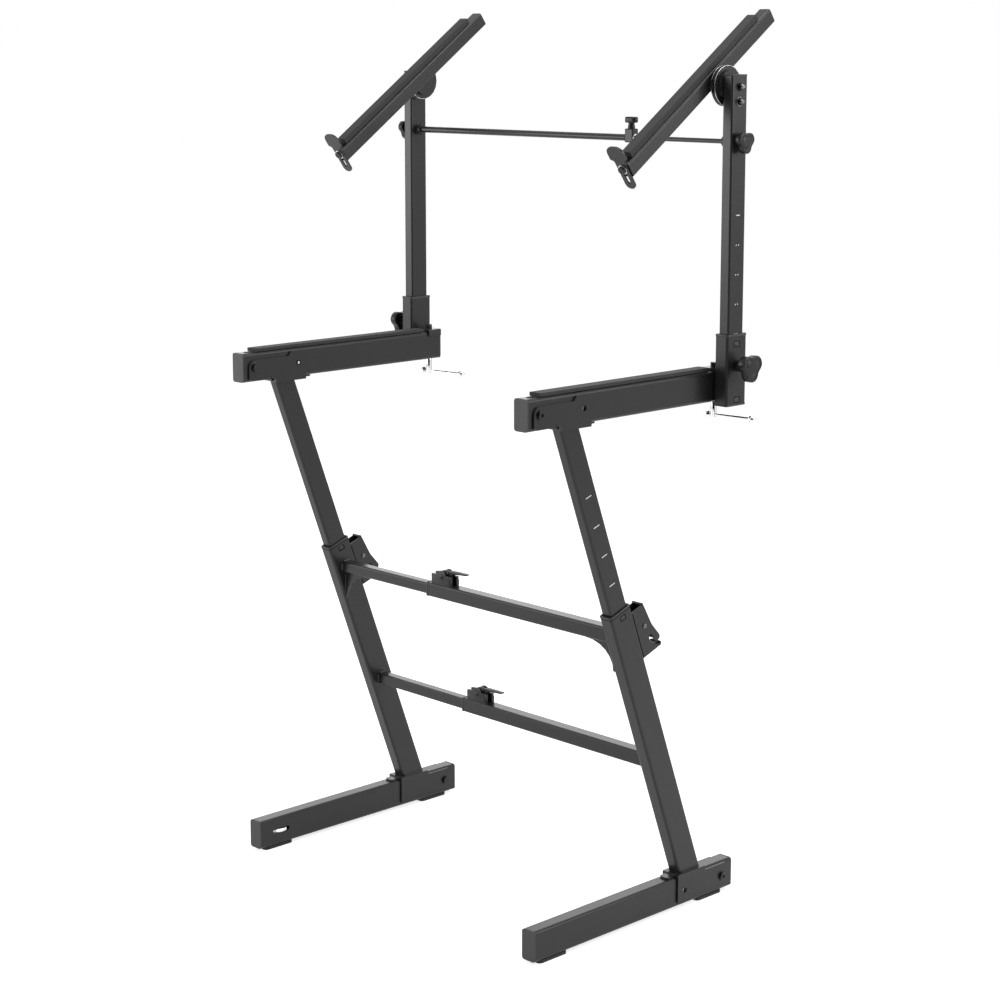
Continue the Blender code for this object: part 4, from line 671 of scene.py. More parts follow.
def bolt_profile(head, height, edge):
    """A round head with a rounded rim, from its seat outwards."""
    return [(head, 0), (head, height - edge), (head - edge * 0.3, height - edge * 0.3), (head - edge, height)]


def socket_head(radius, height):
    """A round bolt head with a six-sided socket."""
    head = stack(bolt_profile(radius, height, radius * 0.18))
    socket = stack([(radius * 0.48, height * 0.35), (radius * 0.48, height * 1.5)], 6)
    return carve(head, socket)


def washer(radius, thickness):
    """A flat washer with a soft rim."""
    return stack([(radius * 0.97, 0), (radius, thickness * 0.3), (radius, thickness * 0.7),
                  (radius * 0.97, thickness)], FINE_ROUND)


def hex_nut(radius, height):
    """A hexagon nut with chamfered corners."""
    return stack([(radius * 0.93, 0), (radius, height * 0.12), (radius, height * 0.82),
                  (radius * 0.9, height)], 6)


def thread_end(radius, length):
    """A bolt's threaded end with a chamfered tip."""
    pitch = radius * 0.28
    count = int(length / pitch)
    rings = []
    for turn in range(count):
        rings.append((radius * 0.9, turn * pitch))
        rings.append((radius, (turn + 0.5) * pitch))
    rings.append((radius * 0.8, count * pitch + pitch))
    return stack(rings, 16)


def put(piece, matrix, name, surface, body):
    """Settle a piece in its frame and dress it."""
    return dress(settle(piece, matrix), name, surface, body)


def both_faces(side):
    """The outer and the inner face of one side of the stand, with the X sign that each faces."""
    return ("outer", side), ("inner", -side)


def hollow(outer, inner, thickness, edge=0):
    """A rectangular ring; outer and inner are (width, depth, corner radius)."""
    return carve(plate(rounded_box(*outer), thickness, edge), plate(rounded_box(*inner), CUT_DEPTH))


CUT_DEPTH = 0.02


def outwards(side, offset, y, z):
    """A frame on the outer side of the stand, whose Z points outwards."""
    return pointing((side * offset, y, z), (side, 0, 0))


def mark_line(length, width):
    """A painted line with round ends."""
    return plate(rounded_box(length, width, width * 0.4, 3), PAINT)


class STAND_OT_marks(bpy.types.Operator):
    """White height marks on the outer faces of the upper legs and the posts"""
    bl_idname = "stand.marks"
    bl_label = "Height marks"

    def execute(self, context):
        length = context.scene.stand_sizes.mark_length
        width = context.scene.stand_sizes.mark_width
        for label, side in SIDES:
            leg_face = side * (FRAME_HALF + UPPER_HALF_WIDTH)
            lines = []
            for number in range(LEG_MARKS):
                place = leg_point(leg_face, LEG_MARK_FIRST + number * LEG_MARK_PITCH, 0)
                lines.append(settle(mark_line(length, width), pointing(place, (side, 0, 0), LEG_UP)))
            dress(merge(lines), f"leg_marks_{label}", "white_paint", f"upper_leg_{label}")
            dots = []
            for number in range(POST_MARKS):
                height = POST_MARK_TOP - number * POST_MARK_PITCH
                if number == 0:
                    dash = mark_line(length * POST_DASH, width)
                    dots.append(settle(dash, outwards(side, POST_FACE, SLEEVE_Y, height)))
                    continue
                for offset in (-POST_DOT_SPACING / 2, POST_DOT_SPACING / 2):
                    dot = stack([(width * 0.75, 0), (width * 0.75, PAINT / 2)], 16)
                    dots.append(settle(dot, outwards(side, POST_FACE, SLEEVE_Y + offset, height)))
            dress(merge(dots), f"post_marks_{label}", "white_paint", f"post_{label}")
        return {"FINISHED"}


LEG_MARKS = 4
LEG_MARK_FIRST = 0.0489
LEG_MARK_PITCH = 0.0524
POST_MARKS = 5
POST_MARK_TOP = 1.1436
POST_MARK_PITCH = 0.0473
POST_DOT_SPACING = 0.0055
POST_DASH = 0.7
PAINT = 0.0002


def lobed_outline(radius, lobe, steps=60):
    """A three-lobed outline with round lobes and clear hollows, one lobe along -Y."""
    points = []
    for step in range(steps):
        turn = 2 * pi * step / steps
        reach = radius * (1 - lobe * ((1 - cos(3 * turn)) / 2) ** 1.5)
        points.append((reach * sin(turn), -reach * cos(turn)))
    return points


def rings_up(outline, rings):
    """An outline extruded and scaled along Z from ring (share of its size, height) to ring."""
    share, height = rings[0]
    first = [(u * share, v * share) for u, v in outline]
    return extrude_rings(flat_face(first, height), rings)


def lobed_knob(radius, thickness, hub, hub_radius):
    """A moulded knob along Z: a lobed grip with a dished, bare face, on a stepped hub."""
    low, top = hub, hub + thickness
    edge = thickness * 0.10
    grip = rings_up(lobed_outline(radius, KNOB_LOBE), (
        (0.30, low), (0.90, low), (0.96, low + edge * 0.35), (0.985, low + edge), (1, low + thickness * 0.55),
        (0.99, top - edge * 0.9), (0.965, top - edge * 0.25), (0.93, top), (0.86, top),
        (0.82, top - edge * 0.5), (0.64, top - edge * 0.7), (0.60, top - edge * 0.3),
        (0.30, top - edge * 0.2), (0.08, top - edge * 0.2)))
    neck = stack([(hub_radius * 0.92, 0), (hub_radius, hub * 0.12), (hub_radius * 0.95, hub * 0.5),
                  (hub_radius * 1.12, hub + thickness * 0.3)])
    return merge([grip, neck])


KNOB_LOBE = 0.29


class STAND_OT_knobs(bpy.types.Operator):
    """The lobed knobs of the sleeves and the cross rod, and the rod's wing knob"""
    bl_idname = "stand.knobs"
    bl_label = "Knobs"

    def execute(self, context):
        for label, side in SIDES:
            for node, face, height, sizes in KNOBS:
                knob = lobed_knob(**sizes)
                stub = stack([(KNOB_SCREW, -0.006), (KNOB_SCREW, sizes["hub"])], 16)
                matrix = outwards(side, face + FIT, SLEEVE_Y, height)
                piece = put(merge([knob, stub]), matrix, f"{node}_grip_{label}", "black_plastic",
                            f"{node}_{label}")
                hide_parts(f"{node}_{label}")
        low, high = low_of("rod_wing_knob"), high_of("rod_wing_knob")
        middle = (low + high) / 2
        height = high.z - low.z
        wing = plate(rounded_box(high.x - low.x, high.y - low.y, (high.y - low.y) * 0.45), 0.010, 0.0025, 3)
        wing.data.transform(Matrix.Translation((0, 0, height - 0.005)))
        stem = stack([(0.0030, 0), (0.0030, height - 0.021), (0.0064, height - 0.020),
                      (0.0060, height - 0.016), (0.0050, height - 0.012), (0.0060, height - 0.008)])
        piece = put(merge([wing, stem]), Matrix.Translation((middle.x, middle.y, low.z)), "rod_wing_grip",
                    "black_plastic", "wing_knob")
        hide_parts("rod_wing_knob")
        return {"FINISHED"}


POST_KNOB_Z = ARM_MID + 0.0359
POST_TOP = ARM_MID + 0.4949
KNOB_SCREW = 0.0038
KNOBS = (
    ("post_knob", SLEEVE_OUTER, POST_KNOB_Z,
     {"radius": 0.024, "thickness": 0.014, "hub": 0.020, "hub_radius": 0.0095}),
    ("rod_knob", POST_FACE, ROD_Z,
     {"radius": 0.0185, "thickness": 0.011, "hub": 0.006, "hub_radius": 0.0085}),
)


def ball_bar(ball, bar, span):
    """A round bar along Z between two balls, whose middles are a span apart."""
    rings = [(ball * 0.35, -ball * 0.94)]
    rings += [(ball * sin(turn * pi / 12), -ball * cos(turn * pi / 12)) for turn in range(2, 10)]
    rings += [(bar, ball * 0.91), (bar, span - ball * 0.91)]
    rings += [(ball * sin(turn * pi / 12), span - ball * cos(turn * pi / 12)) for turn in range(3, 11)]
    rings.append((ball * 0.35, span + ball * 0.94))
    return stack(rings)


class STAND_OT_clamp_bars(bpy.types.Operator):
    """The chrome clamp screws through the arms and their sliding bars with ball ends"""
    bl_idname = "stand.clamp_bars"
    bl_label = "Clamp screws"

    def execute(self, context):
        for label, along in BAR_DIRECTIONS.items():
            low, high = low_of(f"clamp_screw_{label}"), high_of(f"clamp_screw_{label}")
            shank = ARM_LOW.z - FIT - low.z
            radius = (high.x - low.x) / 2
            rings = [(radius * 0.80, 0), (radius * 0.95, 0.0005), (radius, 0.0013), (radius, shank - 0.0008),
                     (radius * 0.95, shank), (0.003, shank), (0.003, high.z - low.z)]
            screw = stack(rings)
            hole = stack([(0.0030, -0.02), (0.0030, 0.02)], 16)
            hole.matrix_world = pointing((0, 0, BAR_HEIGHT - low.z), along)
            carve(screw, hole)
            middle = Vector(((low.x + high.x) / 2, (low.y + high.y) / 2, low.z))
            piece = put(screw, Matrix.Translation(middle), f"clamp_screw_thread_{label}", "chrome",
                        f"clamp_screw_{label}")
            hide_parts(f"clamp_screw_{label}")
            start = Vector((middle.x, middle.y, BAR_HEIGHT)) - along * BAR_NEAR
            piece = put(ball_bar(0.0065, 0.0027, 0.0845), pointing(start, along),
                        f"clamp_bar_balls_{label}", "chrome", f"clamp_bar_{label}")
            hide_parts(f"clamp_bar_{label}")
        return {"FINISHED"}


BAR_DIRECTIONS = {"right": Vector((cos(radians(6.8)), sin(radians(6.8)), 0)),
                  "left": Vector((cos(radians(10.6)), sin(radians(10.6)), 0))}
BAR_HEIGHT = ARM_LOW.z - 0.024
BAR_NEAR = 0.011


# Joints and fittings of the second tier

def ring(outer, inner, thickness, edge=0):
    """A flat ring along Z with chamfered rims."""
    rim = stack([(outer - edge, 0), (outer, edge), (outer, thickness - edge),
                 (outer - edge, thickness)], FINE_ROUND)
    return carve(rim, stack([(inner, -thickness), (inner, 2 * thickness)], FINE_ROUND))


def upright(x, y, z):
    """A frame that stands upright at a point."""
    return Matrix.Translation((x, y, z))


def leg_frame(x, up, back, direction):
    """A frame at a leg's point, whose Z is a direction and whose Y follows the leg."""
    return pointing(leg_point(x, up, back), direction, LEG_UP)


class STAND_OT_tilt_joints(bpy.types.Operator):
    """The bright rims and dark teeth of the tilt discs, and the nuts on the posts' outer faces"""
    bl_idname = "stand.tilt_joints"
    bl_label = "Tilt joints"

    def execute(self, context):
        post_inner = SLEEVE_X - POST_WIDTH / 2
        seam = post_inner - TILT_GAP / 2
        for label, side in SIDES:
            inwards = (-side, 0, 0)
            for owner, teeth_start, rim_start in (("post", 0.0032, 0.0043), ("tilt", -0.0002, -0.0033)):
                body = f"{owner}_{label}"
                rim = ring(DISC_RADIUS + 0.0004, DISC_RADIUS - 0.004, 0.0010, 0.0002)
                place = (side * (seam + rim_start), PIVOT.y, PIVOT.z)
                put(rim, pointing(place, inwards), f"disc_rim_{body}", "zinc", body)
                place = (side * (seam + teeth_start), PIVOT.y, PIVOT.z)
                put(disc_teeth(), pointing(place, inwards), f"disc_teeth_{body}", "black_oxide", body)
            body = f"post_{label}"
            for number, y, z, surface in ((1, PIVOT.y, PIVOT.z - 0.0008, "black_oxide"),
                                          (2, PIVOT.y - 0.001, PIVOT.z - 0.0240, "dull_zinc")):
                put(washer(0.0078, 0.0012), outwards(side, POST_FACE, y, z),
                    f"post_washer_{number}_{label}", surface, body)
                put(hex_nut(0.0062, 0.0042), outwards(side, POST_FACE + 0.0012, y, z),
                    f"post_nut_{number}_{label}", "black_oxide", body)
                put(thread_end(0.0031, 0.0030), outwards(side, POST_FACE + 0.0050, y, z),
                    f"post_bolt_end_{number}_{label}", "dull_zinc", body)
            for number, turn in ((1, 150), (2, 210)):
                place = (side * (post_inner - 0.0002), PIVOT.y - 0.0225 * sin(radians(turn - 90)) * 0.95,
                         PIVOT.z + 0.0225 * cos(radians(turn)))
                put(stack(bolt_profile(0.0022, 0.0020, 0.0006), 16), pointing(place, inwards),
                    f"disc_rivet_{number}_{label}", "satin_coat", body)
        return {"FINISHED"}


def disc_teeth():
    """A ring along Z with a tooth at each step round its rim."""
    teeth = [ring(DISC_RADIUS - 0.0004, DISC_RADIUS - 0.006, 0.0030, 0.0003)]
    for number in range(DISC_TEETH):
        tooth = slab((0.0022, 0.0018, 0.0026), 0.0003, 1)
        outwards_place = Matrix.Translation((DISC_RADIUS - 0.0008, 0, 0.0015))
        tooth.matrix_world = Matrix.Rotation(2 * pi * number / DISC_TEETH, 4, "Z") @ outwards_place
        teeth.append(settle(tooth))
    return merge(teeth)


TILT_GAP = 0.0181
DISC_RADIUS = 0.032
DISC_TEETH = 40


class STAND_OT_stops(bpy.types.Operator):
    """Screws of the end stops, plugs of the arms and tilt arms, and caps of the posts"""
    bl_idname = "stand.stops"
    bl_label = "End stops and caps"

    def execute(self, context):
        for label, side in SIDES:
            place = tilt_point(side * STOP_X, -TILT_FRONT - STOP_PLATE, TILT_HALF - STOP_SCREW_DOWN)
            seat = pointing(place, -TILT_ALONG, TILT_UP)
            put(socket_head(0.0068, 0.0046), seat, f"stop_screw_{label}", "black_oxide", f"tilt_{label}")
            put(ring(0.0084, 0.0034, 0.0009, 0.0002), seat, f"stop_washer_{label}", "zinc", f"tilt_{label}")
            for name, body, (width, depth, corner), thickness, edge, matrix in (
                    ("tilt_plug", "tilt", (0.0231, 0.0246, 0.0032), 0.0022, 0.0007,
                     pointing(tilt_point(side * TILT_X, TILT_REAR + 0.0010, 0), TILT_ALONG, TILT_UP)),
                    ("post_cap", "post", (POST_WIDTH + 0.0006, POST_DEPTH + 0.0006, 0.0034), 0.0026, 0.0008,
                     upright(side * SLEEVE_X, SLEEVE_Y, POST_TOP + 0.0010)),
                    ("arm_rear_plug", "arm", (2 * TUBE_HALF + 0.0004, 0.0504, 0.0048), 0.0030, 0.0009,
                     pointing((side * FRAME_HALF, ARM_HIGH.y + 0.0012, ARM_MID), (0, 1, 0)))):
                put(plate(rounded_box(width, depth, corner), thickness, edge), matrix, f"{name}_{label}",
                    "moulded_plastic", f"{body}_{label}")
            plug = stack(bolt_profile(0.0042, 0.0009, 0.0004), 24)
            plug = carve(plug, stack([(0.0018, 0.0004), (0.0018, 0.002)], 6))
            put(plug, upright(side * FRAME_HALF, ARM_LOW.y + 0.0140, ARM_TOP - 0.0002),
                f"arm_top_plug_{label}", "rubber", f"arm_{label}")
        return {"FINISHED"}


STOP_X = 0.337
STOP_PLATE = 0.0036
STOP_SCREW_DOWN = 0.009
TILT_FRONT = 0.243
TILT_REAR = 0.163


class STAND_OT_sleeves(bpy.types.Operator):
    """Plastic bushes of the posts' sleeves, with their snap tabs, and near-black plates that paint the shade
    in their windows
    """
    bl_idname = "stand.sleeves"
    bl_label = "Sleeve bushes"

    def execute(self, context):
        for label, side in SIDES:
            for name, height, thickness in (("top", SLEEVE_HIGH.z + 0.0012, 0.0040),
                                            ("bottom", SLEEVE_LOW.z - 0.0008, 0.0032)):
                lip = hollow((SLEEVE_WIDTH + 0.0012, SLEEVE_DEPTH + 0.0012, 0.0044),
                             (POST_WIDTH + 0.0007, POST_DEPTH + 0.0007, 0.0032), thickness, 0.0010)
                put(lip, upright(side * SLEEVE_X, SLEEVE_Y, height), f"sleeve_{name}_bush_{label}",
                    "moulded_plastic", f"arm_{label}")
            for number, (y, z) in enumerate(((SLEEVE_Y - 0.001, SLEEVE_HIGH.z - 0.0130),
                                             (SLEEVE_Y + 0.0012, SLEEVE_LOW.z + 0.0075))):
                # A window is a near-black plate: painted shade for the opening round the snap tab.
                window = plate(rounded_box(0.0150, 0.0100, 0.0016), 0.0004, 0.0001, 1)
                put(window, outwards(side, SLEEVE_OUTER - 0.0001, y, z),
                    f"sleeve_window_{number + 1}_{label}", "dark_gap", f"arm_{label}")
                tab = plate(rounded_box(0.0118, 0.0076, 0.0010), 0.0012, 0.0004, 2)
                put(tab, outwards(side, SLEEVE_OUTER - 0.0002, y - 0.0006, z),
                    f"sleeve_tab_{number + 1}_{label}", "moulded_plastic", f"arm_{label}")
        return {"FINISHED"}


# Legs, locks and folding joints

def bead(radius, length):
    """A weld bead along Z: a rod with overlapping ripples."""
    pitch = radius * 0.9
    count = max(4, int(length / pitch))
    rings = [(radius * 0.45, -length / 2)]
    for step in range(count):
        low = -length / 2 + length * (step + 0.3) / count
        high = -length / 2 + length * (step + 0.85) / count
        rings += [(radius, low), (radius * 0.86, high)]
    rings.append((radius * 0.45, length / 2))
    return stack(rings, 10)


def weld_line(start, end, radius, name, body, surface="weld"):
    """A bead from one point to another, half sunk in the corner it fills."""
    start, end = Vector(start), Vector(end)
    matrix = pointing((start + end) / 2, end - start, BEAD_SIDE)
    return put(bead(radius, (end - start).length), matrix, name, surface, body)


BEAD_SIDE = (0.3, 0.5, 0.8)


# Hole that the upper leg slides through: width, depth and corner radius
UPPER_HOLE = (2 * UPPER_HALF_WIDTH + 0.0008, 2 * UPPER_HALF_DEPTH + 0.0008, 0.0040)


class STAND_OT_collars(bpy.types.Operator):
    """Lips and tabs of the legs' plastic collars, and near-black rings and plates that paint the shade in
    their gaps, seams and snap windows
    """
    bl_idname = "stand.collars"
    bl_label = "Leg collars"

    def execute(self, context):
        for label, side in SIDES:
            x = side * FRAME_HALF
            body = f"{label}_frame"
            lip = hollow((2 * LEG_HALF_WIDTH + 0.0008, 2 * LEG_HALF_DEPTH + 0.0008, 0.0044), UPPER_HOLE,
                         0.0038, 0.0009)
            put(lip, pointing(leg_point(x, -0.0013, 0), LEG_UP, LEG_BACK), f"collar_lip_{label}",
                "moulded_plastic", body)
            # Near-black rings: painted shade in the gap round the upper leg and in the seam under the lip.
            gap = hollow((2 * UPPER_HALF_WIDTH + 0.0034, 2 * UPPER_HALF_DEPTH + 0.0034, 0.0053), UPPER_HOLE,
                         0.0006)
            put(gap, pointing(leg_point(x, 0.0005, 0), LEG_UP, LEG_BACK), f"collar_gap_{label}", "dark_gap",
                body)
            seam = hollow((2 * LEG_HALF_WIDTH + 0.0002, 2 * LEG_HALF_DEPTH + 0.0002, 0.0041), UPPER_HOLE,
                          0.0012)
            put(seam, pointing(leg_point(x, -0.0038, 0), LEG_UP, LEG_BACK), f"collar_seam_{label}",
                "dark_gap", body)
            for end, face in both_faces(side):
                place = leg_point(x + face * (LEG_HALF_WIDTH + 0.0001), -0.0125, 0.0020)
                matrix = pointing(place, (face, 0, 0), LEG_UP)
                # Near-black plate: painted shade in the snap window.
                window = plate(rounded_box(0.0128, 0.0086, 0.0013), 0.0004, 0.0001, 1)
                put(window, matrix, f"collar_window_{end}_{label}", "dark_gap", body)
                tab = plate(rounded_box(0.0098, 0.0060, 0.0008), 0.0012, 0.0004, 2)
                tab.data.transform(Matrix.Translation((-0.0008 * face, 0.0007, 0)))
                put(tab, matrix, f"collar_tab_{end}_{label}", "moulded_plastic", body)
        return {"FINISHED"}


def rolled_edge(radius, end_radius, taper):
    """The rolled edge of a lock housing, along Z, as wide as the housing."""
    return stack([(end_radius, -LOCK_HALF), (radius, -LOCK_HALF + taper), (radius, LOCK_HALF - taper),
                  (end_radius, LOCK_HALF)], 16)


class STAND_OT_locks(bpy.types.Operator):
    """Pins, washers and rolled edges of the legs' height locks, and near-black beads that paint the shade in
    their housings' seams
    """
    bl_idname = "stand.locks"
    bl_label = "Height locks"

    def execute(self, context):
        for label, side in SIDES:
            x = side * FRAME_HALF
            body = f"{label}_frame"
            for end, face in both_faces(side):
                place = x + face * LOCK_HALF
                seat = leg_frame(place, -LOCK_PIN_DOWN, LOCK_PIN_BACK, (face, 0, 0))
                put(ring(0.0053, 0.0035, 0.0006, 0.0002), seat, f"lock_washer_{end}_{label}", "black_oxide",
                    body)
                head = stack([(0.0036, 0), (0.0036, 0.0013), (0.0031, 0.0018), (0.0014, 0.0018),
                              (0.0011, 0.0012), (0.0004, 0.0012)], 20)
                put(head, seat, f"lock_pin_{end}_{label}", "dull_zinc", body)
            roll = rolled_edge(0.0020, 0.0014, 0.0007)
            put(roll, pointing(leg_point(x, -0.0162, HOUSING_BACK - 0.0014), (1, 0, 0)),
                f"lock_top_roll_{label}", "satin_coat", body)
            roll = rolled_edge(0.0013, 0.0009, 0.0005)
            put(roll, pointing(leg_point(x, -0.0970, 0.0684), (1, 0, 0)), f"lock_lip_roll_{label}",
                "satin_coat", body)
            # Near-black weld beads: painted shade along the seams between the housings and the legs.
            for end, face in both_faces(side):
                corner = x + face * (LOCK_HALF - 0.0004)
                weld_line(leg_point(corner, -0.0205, LEG_HALF_DEPTH + 0.0004),
                          leg_point(corner, -0.0990, LEG_HALF_DEPTH + 0.0004), 0.0010,
                          f"housing_weld_{end}_{label}", body, "dark_gap")
        return {"FINISHED"}


LOCK_PIN_DOWN = 0.052
LOCK_PIN_BACK = 0.043
LOCK_HALF = 0.011
HOUSING_BACK = 0.052


class STAND_OT_welds(bpy.types.Operator):
    """Weld beads of the braces, gussets, leg brackets and sleeves"""
    bl_idname = "stand.welds"
    bl_label = "Weld beads"

    def execute(self, context):
        for label, side in SIDES:
            body = f"{label}_frame"
            tube = "outer" if side > 0 else "inner"
            half = BRACE_HALF[tube]
            face = side * (FRAME_HALF - LEG_HALF_WIDTH - 0.0002)
            for brace in ("upper", "lower"):
                middle = brace_middle(brace)
                for name, corner, run in (("top", (0, 0, half), (0, half - 0.003, 0)),
                                          ("front", (0, -half, 0), (0, 0, half - 0.003)),
                                          ("back", (0, half, 0), (0, 0, half - 0.003))):
                    centre = Vector((face, middle.y, middle.z)) + Vector(corner)
                    weld_line(centre - Vector(run), centre + Vector(run), 0.0016,
                              f"brace_weld_{brace}_{name}_{label}", body)
            middle = brace_middle("upper")
            for name, sign in (("front", -1), ("back", 1)):
                edge = middle + Vector((face, sign * 0.0024, -half - 0.004))
                weld_line(edge, edge + Vector((0, 0, -0.036)), 0.0012, f"gusset_weld_{name}_{label}", body)
            top = leg_point(side * FRAME_HALF, ARM_BRACKET_UP, 0)
            for joint, owner, half_width, radius, front, back, z in (
                    ("foot", f"{label}_frame", LEG_HALF_WIDTH, 0.0012, SEAT_Y - 0.021, SEAT_Y + 0.022,
                     SEAT_Z + 0.0002),
                    ("arm", f"upper_leg_{label}", UPPER_HALF_WIDTH, 0.0011, top.y - 0.017, top.y + 0.018,
                     top.z - 0.0002)):
                for name, sign in (("outer", 1), ("inner", -1)):
                    x = side * FRAME_HALF + sign * (half_width + 0.0002)
                    weld_line((x, front, z), (x, back, z), radius, f"{joint}_weld_{name}_{label}", owner)
            plate_x = side * (SLEEVE_X - SLEEVE_WIDTH / 2 + 0.0001)
            for name, sign in (("front", -1), ("back", 1)):
                y = SLEEVE_Y + sign * 0.0146
                weld_line((plate_x, y, ARM_LOW.z + 0.003), (plate_x, y, ARM_HIGH.z + 0.002), 0.0013,
                          f"sleeve_weld_{name}_{label}", f"arm_{label}")
        return {"FINISHED"}


def brace_middle(brace):
    """The middle line of a cross brace."""
    low, high = low_of(f"brace_{brace}_inner"), high_of(f"brace_{brace}_inner")
    return Vector((0, (low.y + high.y) / 2, high.z - BRACE_HALF["inner"]))


BRACE_HALF = {"outer": 0.01225, "inner": 0.00975}
ARM_BRACKET_UP = 0.3247


class STAND_OT_hinge_washers(bpy.types.Operator):
    """Washers of the folding joints' bolts, rims of their snap buttons and the arm brackets' relief, with
    painted shade in the snap eyes and the reliefs' cores
    """
    bl_idname = "stand.hinge_washers"
    bl_label = "Hinge washers"

    def execute(self, context):
        for label, side in SIDES:
            for joint, body in (("foot", f"{label}_frame"), ("arm", f"upper_leg_{label}")):
                bolt = middle_of(f"{joint}_hinge_bolt_{label}")
                for end, face in both_faces(side):
                    place = (side * FRAME_HALF + face * CHEEK_FACE, bolt.y, bolt.z)
                    put(ring(0.0092, 0.0044, 0.0008, 0.0002), pointing(place, (face, 0, 0)),
                        f"{joint}_hinge_washer_{end}_{label}", "black_oxide", body)
                button = middle_of(f"{joint}_snap_button_{label}")
                place = (side * (FRAME_HALF + CHEEK_FACE - 0.0004), button.y, button.z)
                put(ring(0.0058, 0.0049, 0.0006, 0.0002), pointing(place, (side, 0, 0)),
                    f"{joint}_snap_rim_{label}", "satin_coat", body)
            body = f"upper_leg_{label}"
            button = middle_of(f"arm_snap_button_{label}")
            eye = (side * (FRAME_HALF - CHEEK_FACE), button.y, button.z)
            seat = pointing(eye, (-side, 0, 0))
            # A near-black ring: painted shade in the hole round the snap's end.
            put(ring(0.0046, 0.0026, 0.0005, 0.0001), seat, f"arm_snap_eye_{label}", "dark_gap", body)
            tip = stack([(0.0026, 0), (0.0025, 0.0006), (0.0019, 0.0011), (0.0009, 0.0014)], 20)
            put(tip, seat, f"arm_snap_end_{label}", "zinc", body)
            for end, face in both_faces(side):
                seat = pointing((side * FRAME_HALF + face * CHEEK_FACE, *RELIEF), (face, 0, 0))
                rim = ring(0.0037, 0.0021, 0.0010, 0.0004)
                put(rim, seat, f"relief_rim_{end}_{label}", "satin_coat", body)
                # A near-black core: painted shade in the relief's hollow.
                core = stack([(0.0022, 0), (0.0022, 0.0004)], 16)
                put(core, seat, f"relief_core_{end}_{label}", "dark_gap", body)
        return {"FINISHED"}


# Y and Z of the round relief on the arm brackets
RELIEF = (-0.2230, 0.8435)


# Braces, cam levers, cross rod and levelling wheel

class STAND_OT_brace_fittings(bpy.types.Operator):
    """Collars in the braces' mouths, and the cam clamps' levers, cheeks, pins and nuts"""
    bl_idname = "stand.brace_fittings"
    bl_label = "Brace fittings"

    def execute(self, context):
        for brace in ("upper", "lower"):
            middle = brace_middle(brace)
            mouth = low_of(f"brace_{brace}_outer").x
            outer = 2 * BRACE_HALF["outer"] + 0.0012
            inner = 2 * BRACE_HALF["inner"] + 0.0007
            lip = hollow((outer, outer, 0.0036), (inner, inner, 0.0032), 0.0036, 0.0009)
            put(lip, pointing((mouth + 0.0002, middle.y, middle.z), (1, 0, 0)), f"brace_collar_{brace}",
                "moulded_plastic", "right_frame")
            block_top = middle.z + BRACE_HALF["outer"]
            pin = Vector((CLAMP_START + CAM_PIN, middle.y, block_top + CAM_PIN_RISE))
            lever = cam_lever()
            put(lever, pointing(pin, (0, -1, 0)), f"cam_lever_grip_{brace}", "black_plastic",
                f"cam_lever_{brace}")
            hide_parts(f"cam_lever_{brace}")
            for end, sign in (("front", -1), ("back", 1)):
                face = middle.y + sign * CLAMP_WIDTH / 2
                put(socket_head(0.0042, 0.0022), pointing((pin.x, face, pin.z), (0, sign, 0)),
                    f"cam_pin_head_{end}_{brace}", "black_oxide", "right_frame")
                put(stack(bolt_profile(0.0022, 0.0010, 0.0004), 16),
                    pointing((CLAMP_START + 0.0395, face, block_top + 0.0065), (0, sign, 0)),
                    f"cam_rivet_{end}_{brace}", "satin_coat", "right_frame")
                put(clamp_cheek(), pointing((pin.x, face - sign * 0.0001, pin.z), (0, sign, 0)),
                    f"clamp_cheek_{end}_{brace}", "black_plastic", "right_frame")
                weld_line((CLAMP_START + 0.002, face, block_top + 0.0002),
                          (CLAMP_START + CLAMP_LENGTH - 0.002, face, block_top + 0.0002), 0.0011,
                          f"clamp_weld_{end}_{brace}", "right_frame")
            seat = (CLAMP_START + 0.0055, middle.y, block_top + CLAMP_HEIGHT - 0.0002)
            put(washer(0.0048, 0.0007), upright(*seat), f"clamp_washer_{brace}", "zinc", "right_frame")
            put(hex_nut(0.0038, 0.0028), upright(seat[0], seat[1], seat[2] + 0.0006), f"clamp_nut_{brace}",
                "black_oxide", "right_frame")
        return {"FINISHED"}


def clamp_cheek():
    """A moulded cheek of a cam clamp in XY, with the pin at its origin and its hump round it."""
    points = [(-0.0235, -0.0126), (0.0215, -0.0126), (0.0215, -0.0020), (0.0165, 0.0030)]
    for step in range(9):
        turn = radians(20 + 130 * step / 8)
        points.append((CHEEK_ROUND * cos(turn), CHEEK_ROUND * sin(turn)))
    points += [(-0.0180, 0.0030), (-0.0235, -0.0020)]
    return plate(points, 0.0018, 0.0005, 2)


def cam_lever():
    """A moulded cam lever in XY, with the pin at its origin and its tail towards +X."""
    points = []
    for step in range(19):
        turn = radians(35 + 290 * step / 18)
        points.append((CAM_RADIUS * cos(turn), CAM_RADIUS * sin(turn)))
    points += [(0.0155, -0.0035), (0.0190, 0.0050), (0.0240, 0.0082), (0.0400, 0.0096), (0.0535, 0.0104),
               (0.0556, 0.0112), (0.0559, 0.0124), (0.0550, 0.0134), (0.0380, 0.0135), (0.0180, 0.0134),
               (0.0120, 0.0122)]
    lever = plate(points, 0.0088, 0.0011, 2)
    bore = stack([(0.0028, -0.02), (0.0028, 0.02)], 20)
    return carve(lever, bore)


CLAMP_START = -0.093
CLAMP_LENGTH = 0.048
CLAMP_WIDTH = 0.019
CLAMP_HEIGHT = 0.017
CAM_PIN = 0.025
CAM_PIN_RISE = 0.013
CAM_RADIUS = 0.012
CHEEK_ROUND = 0.0125


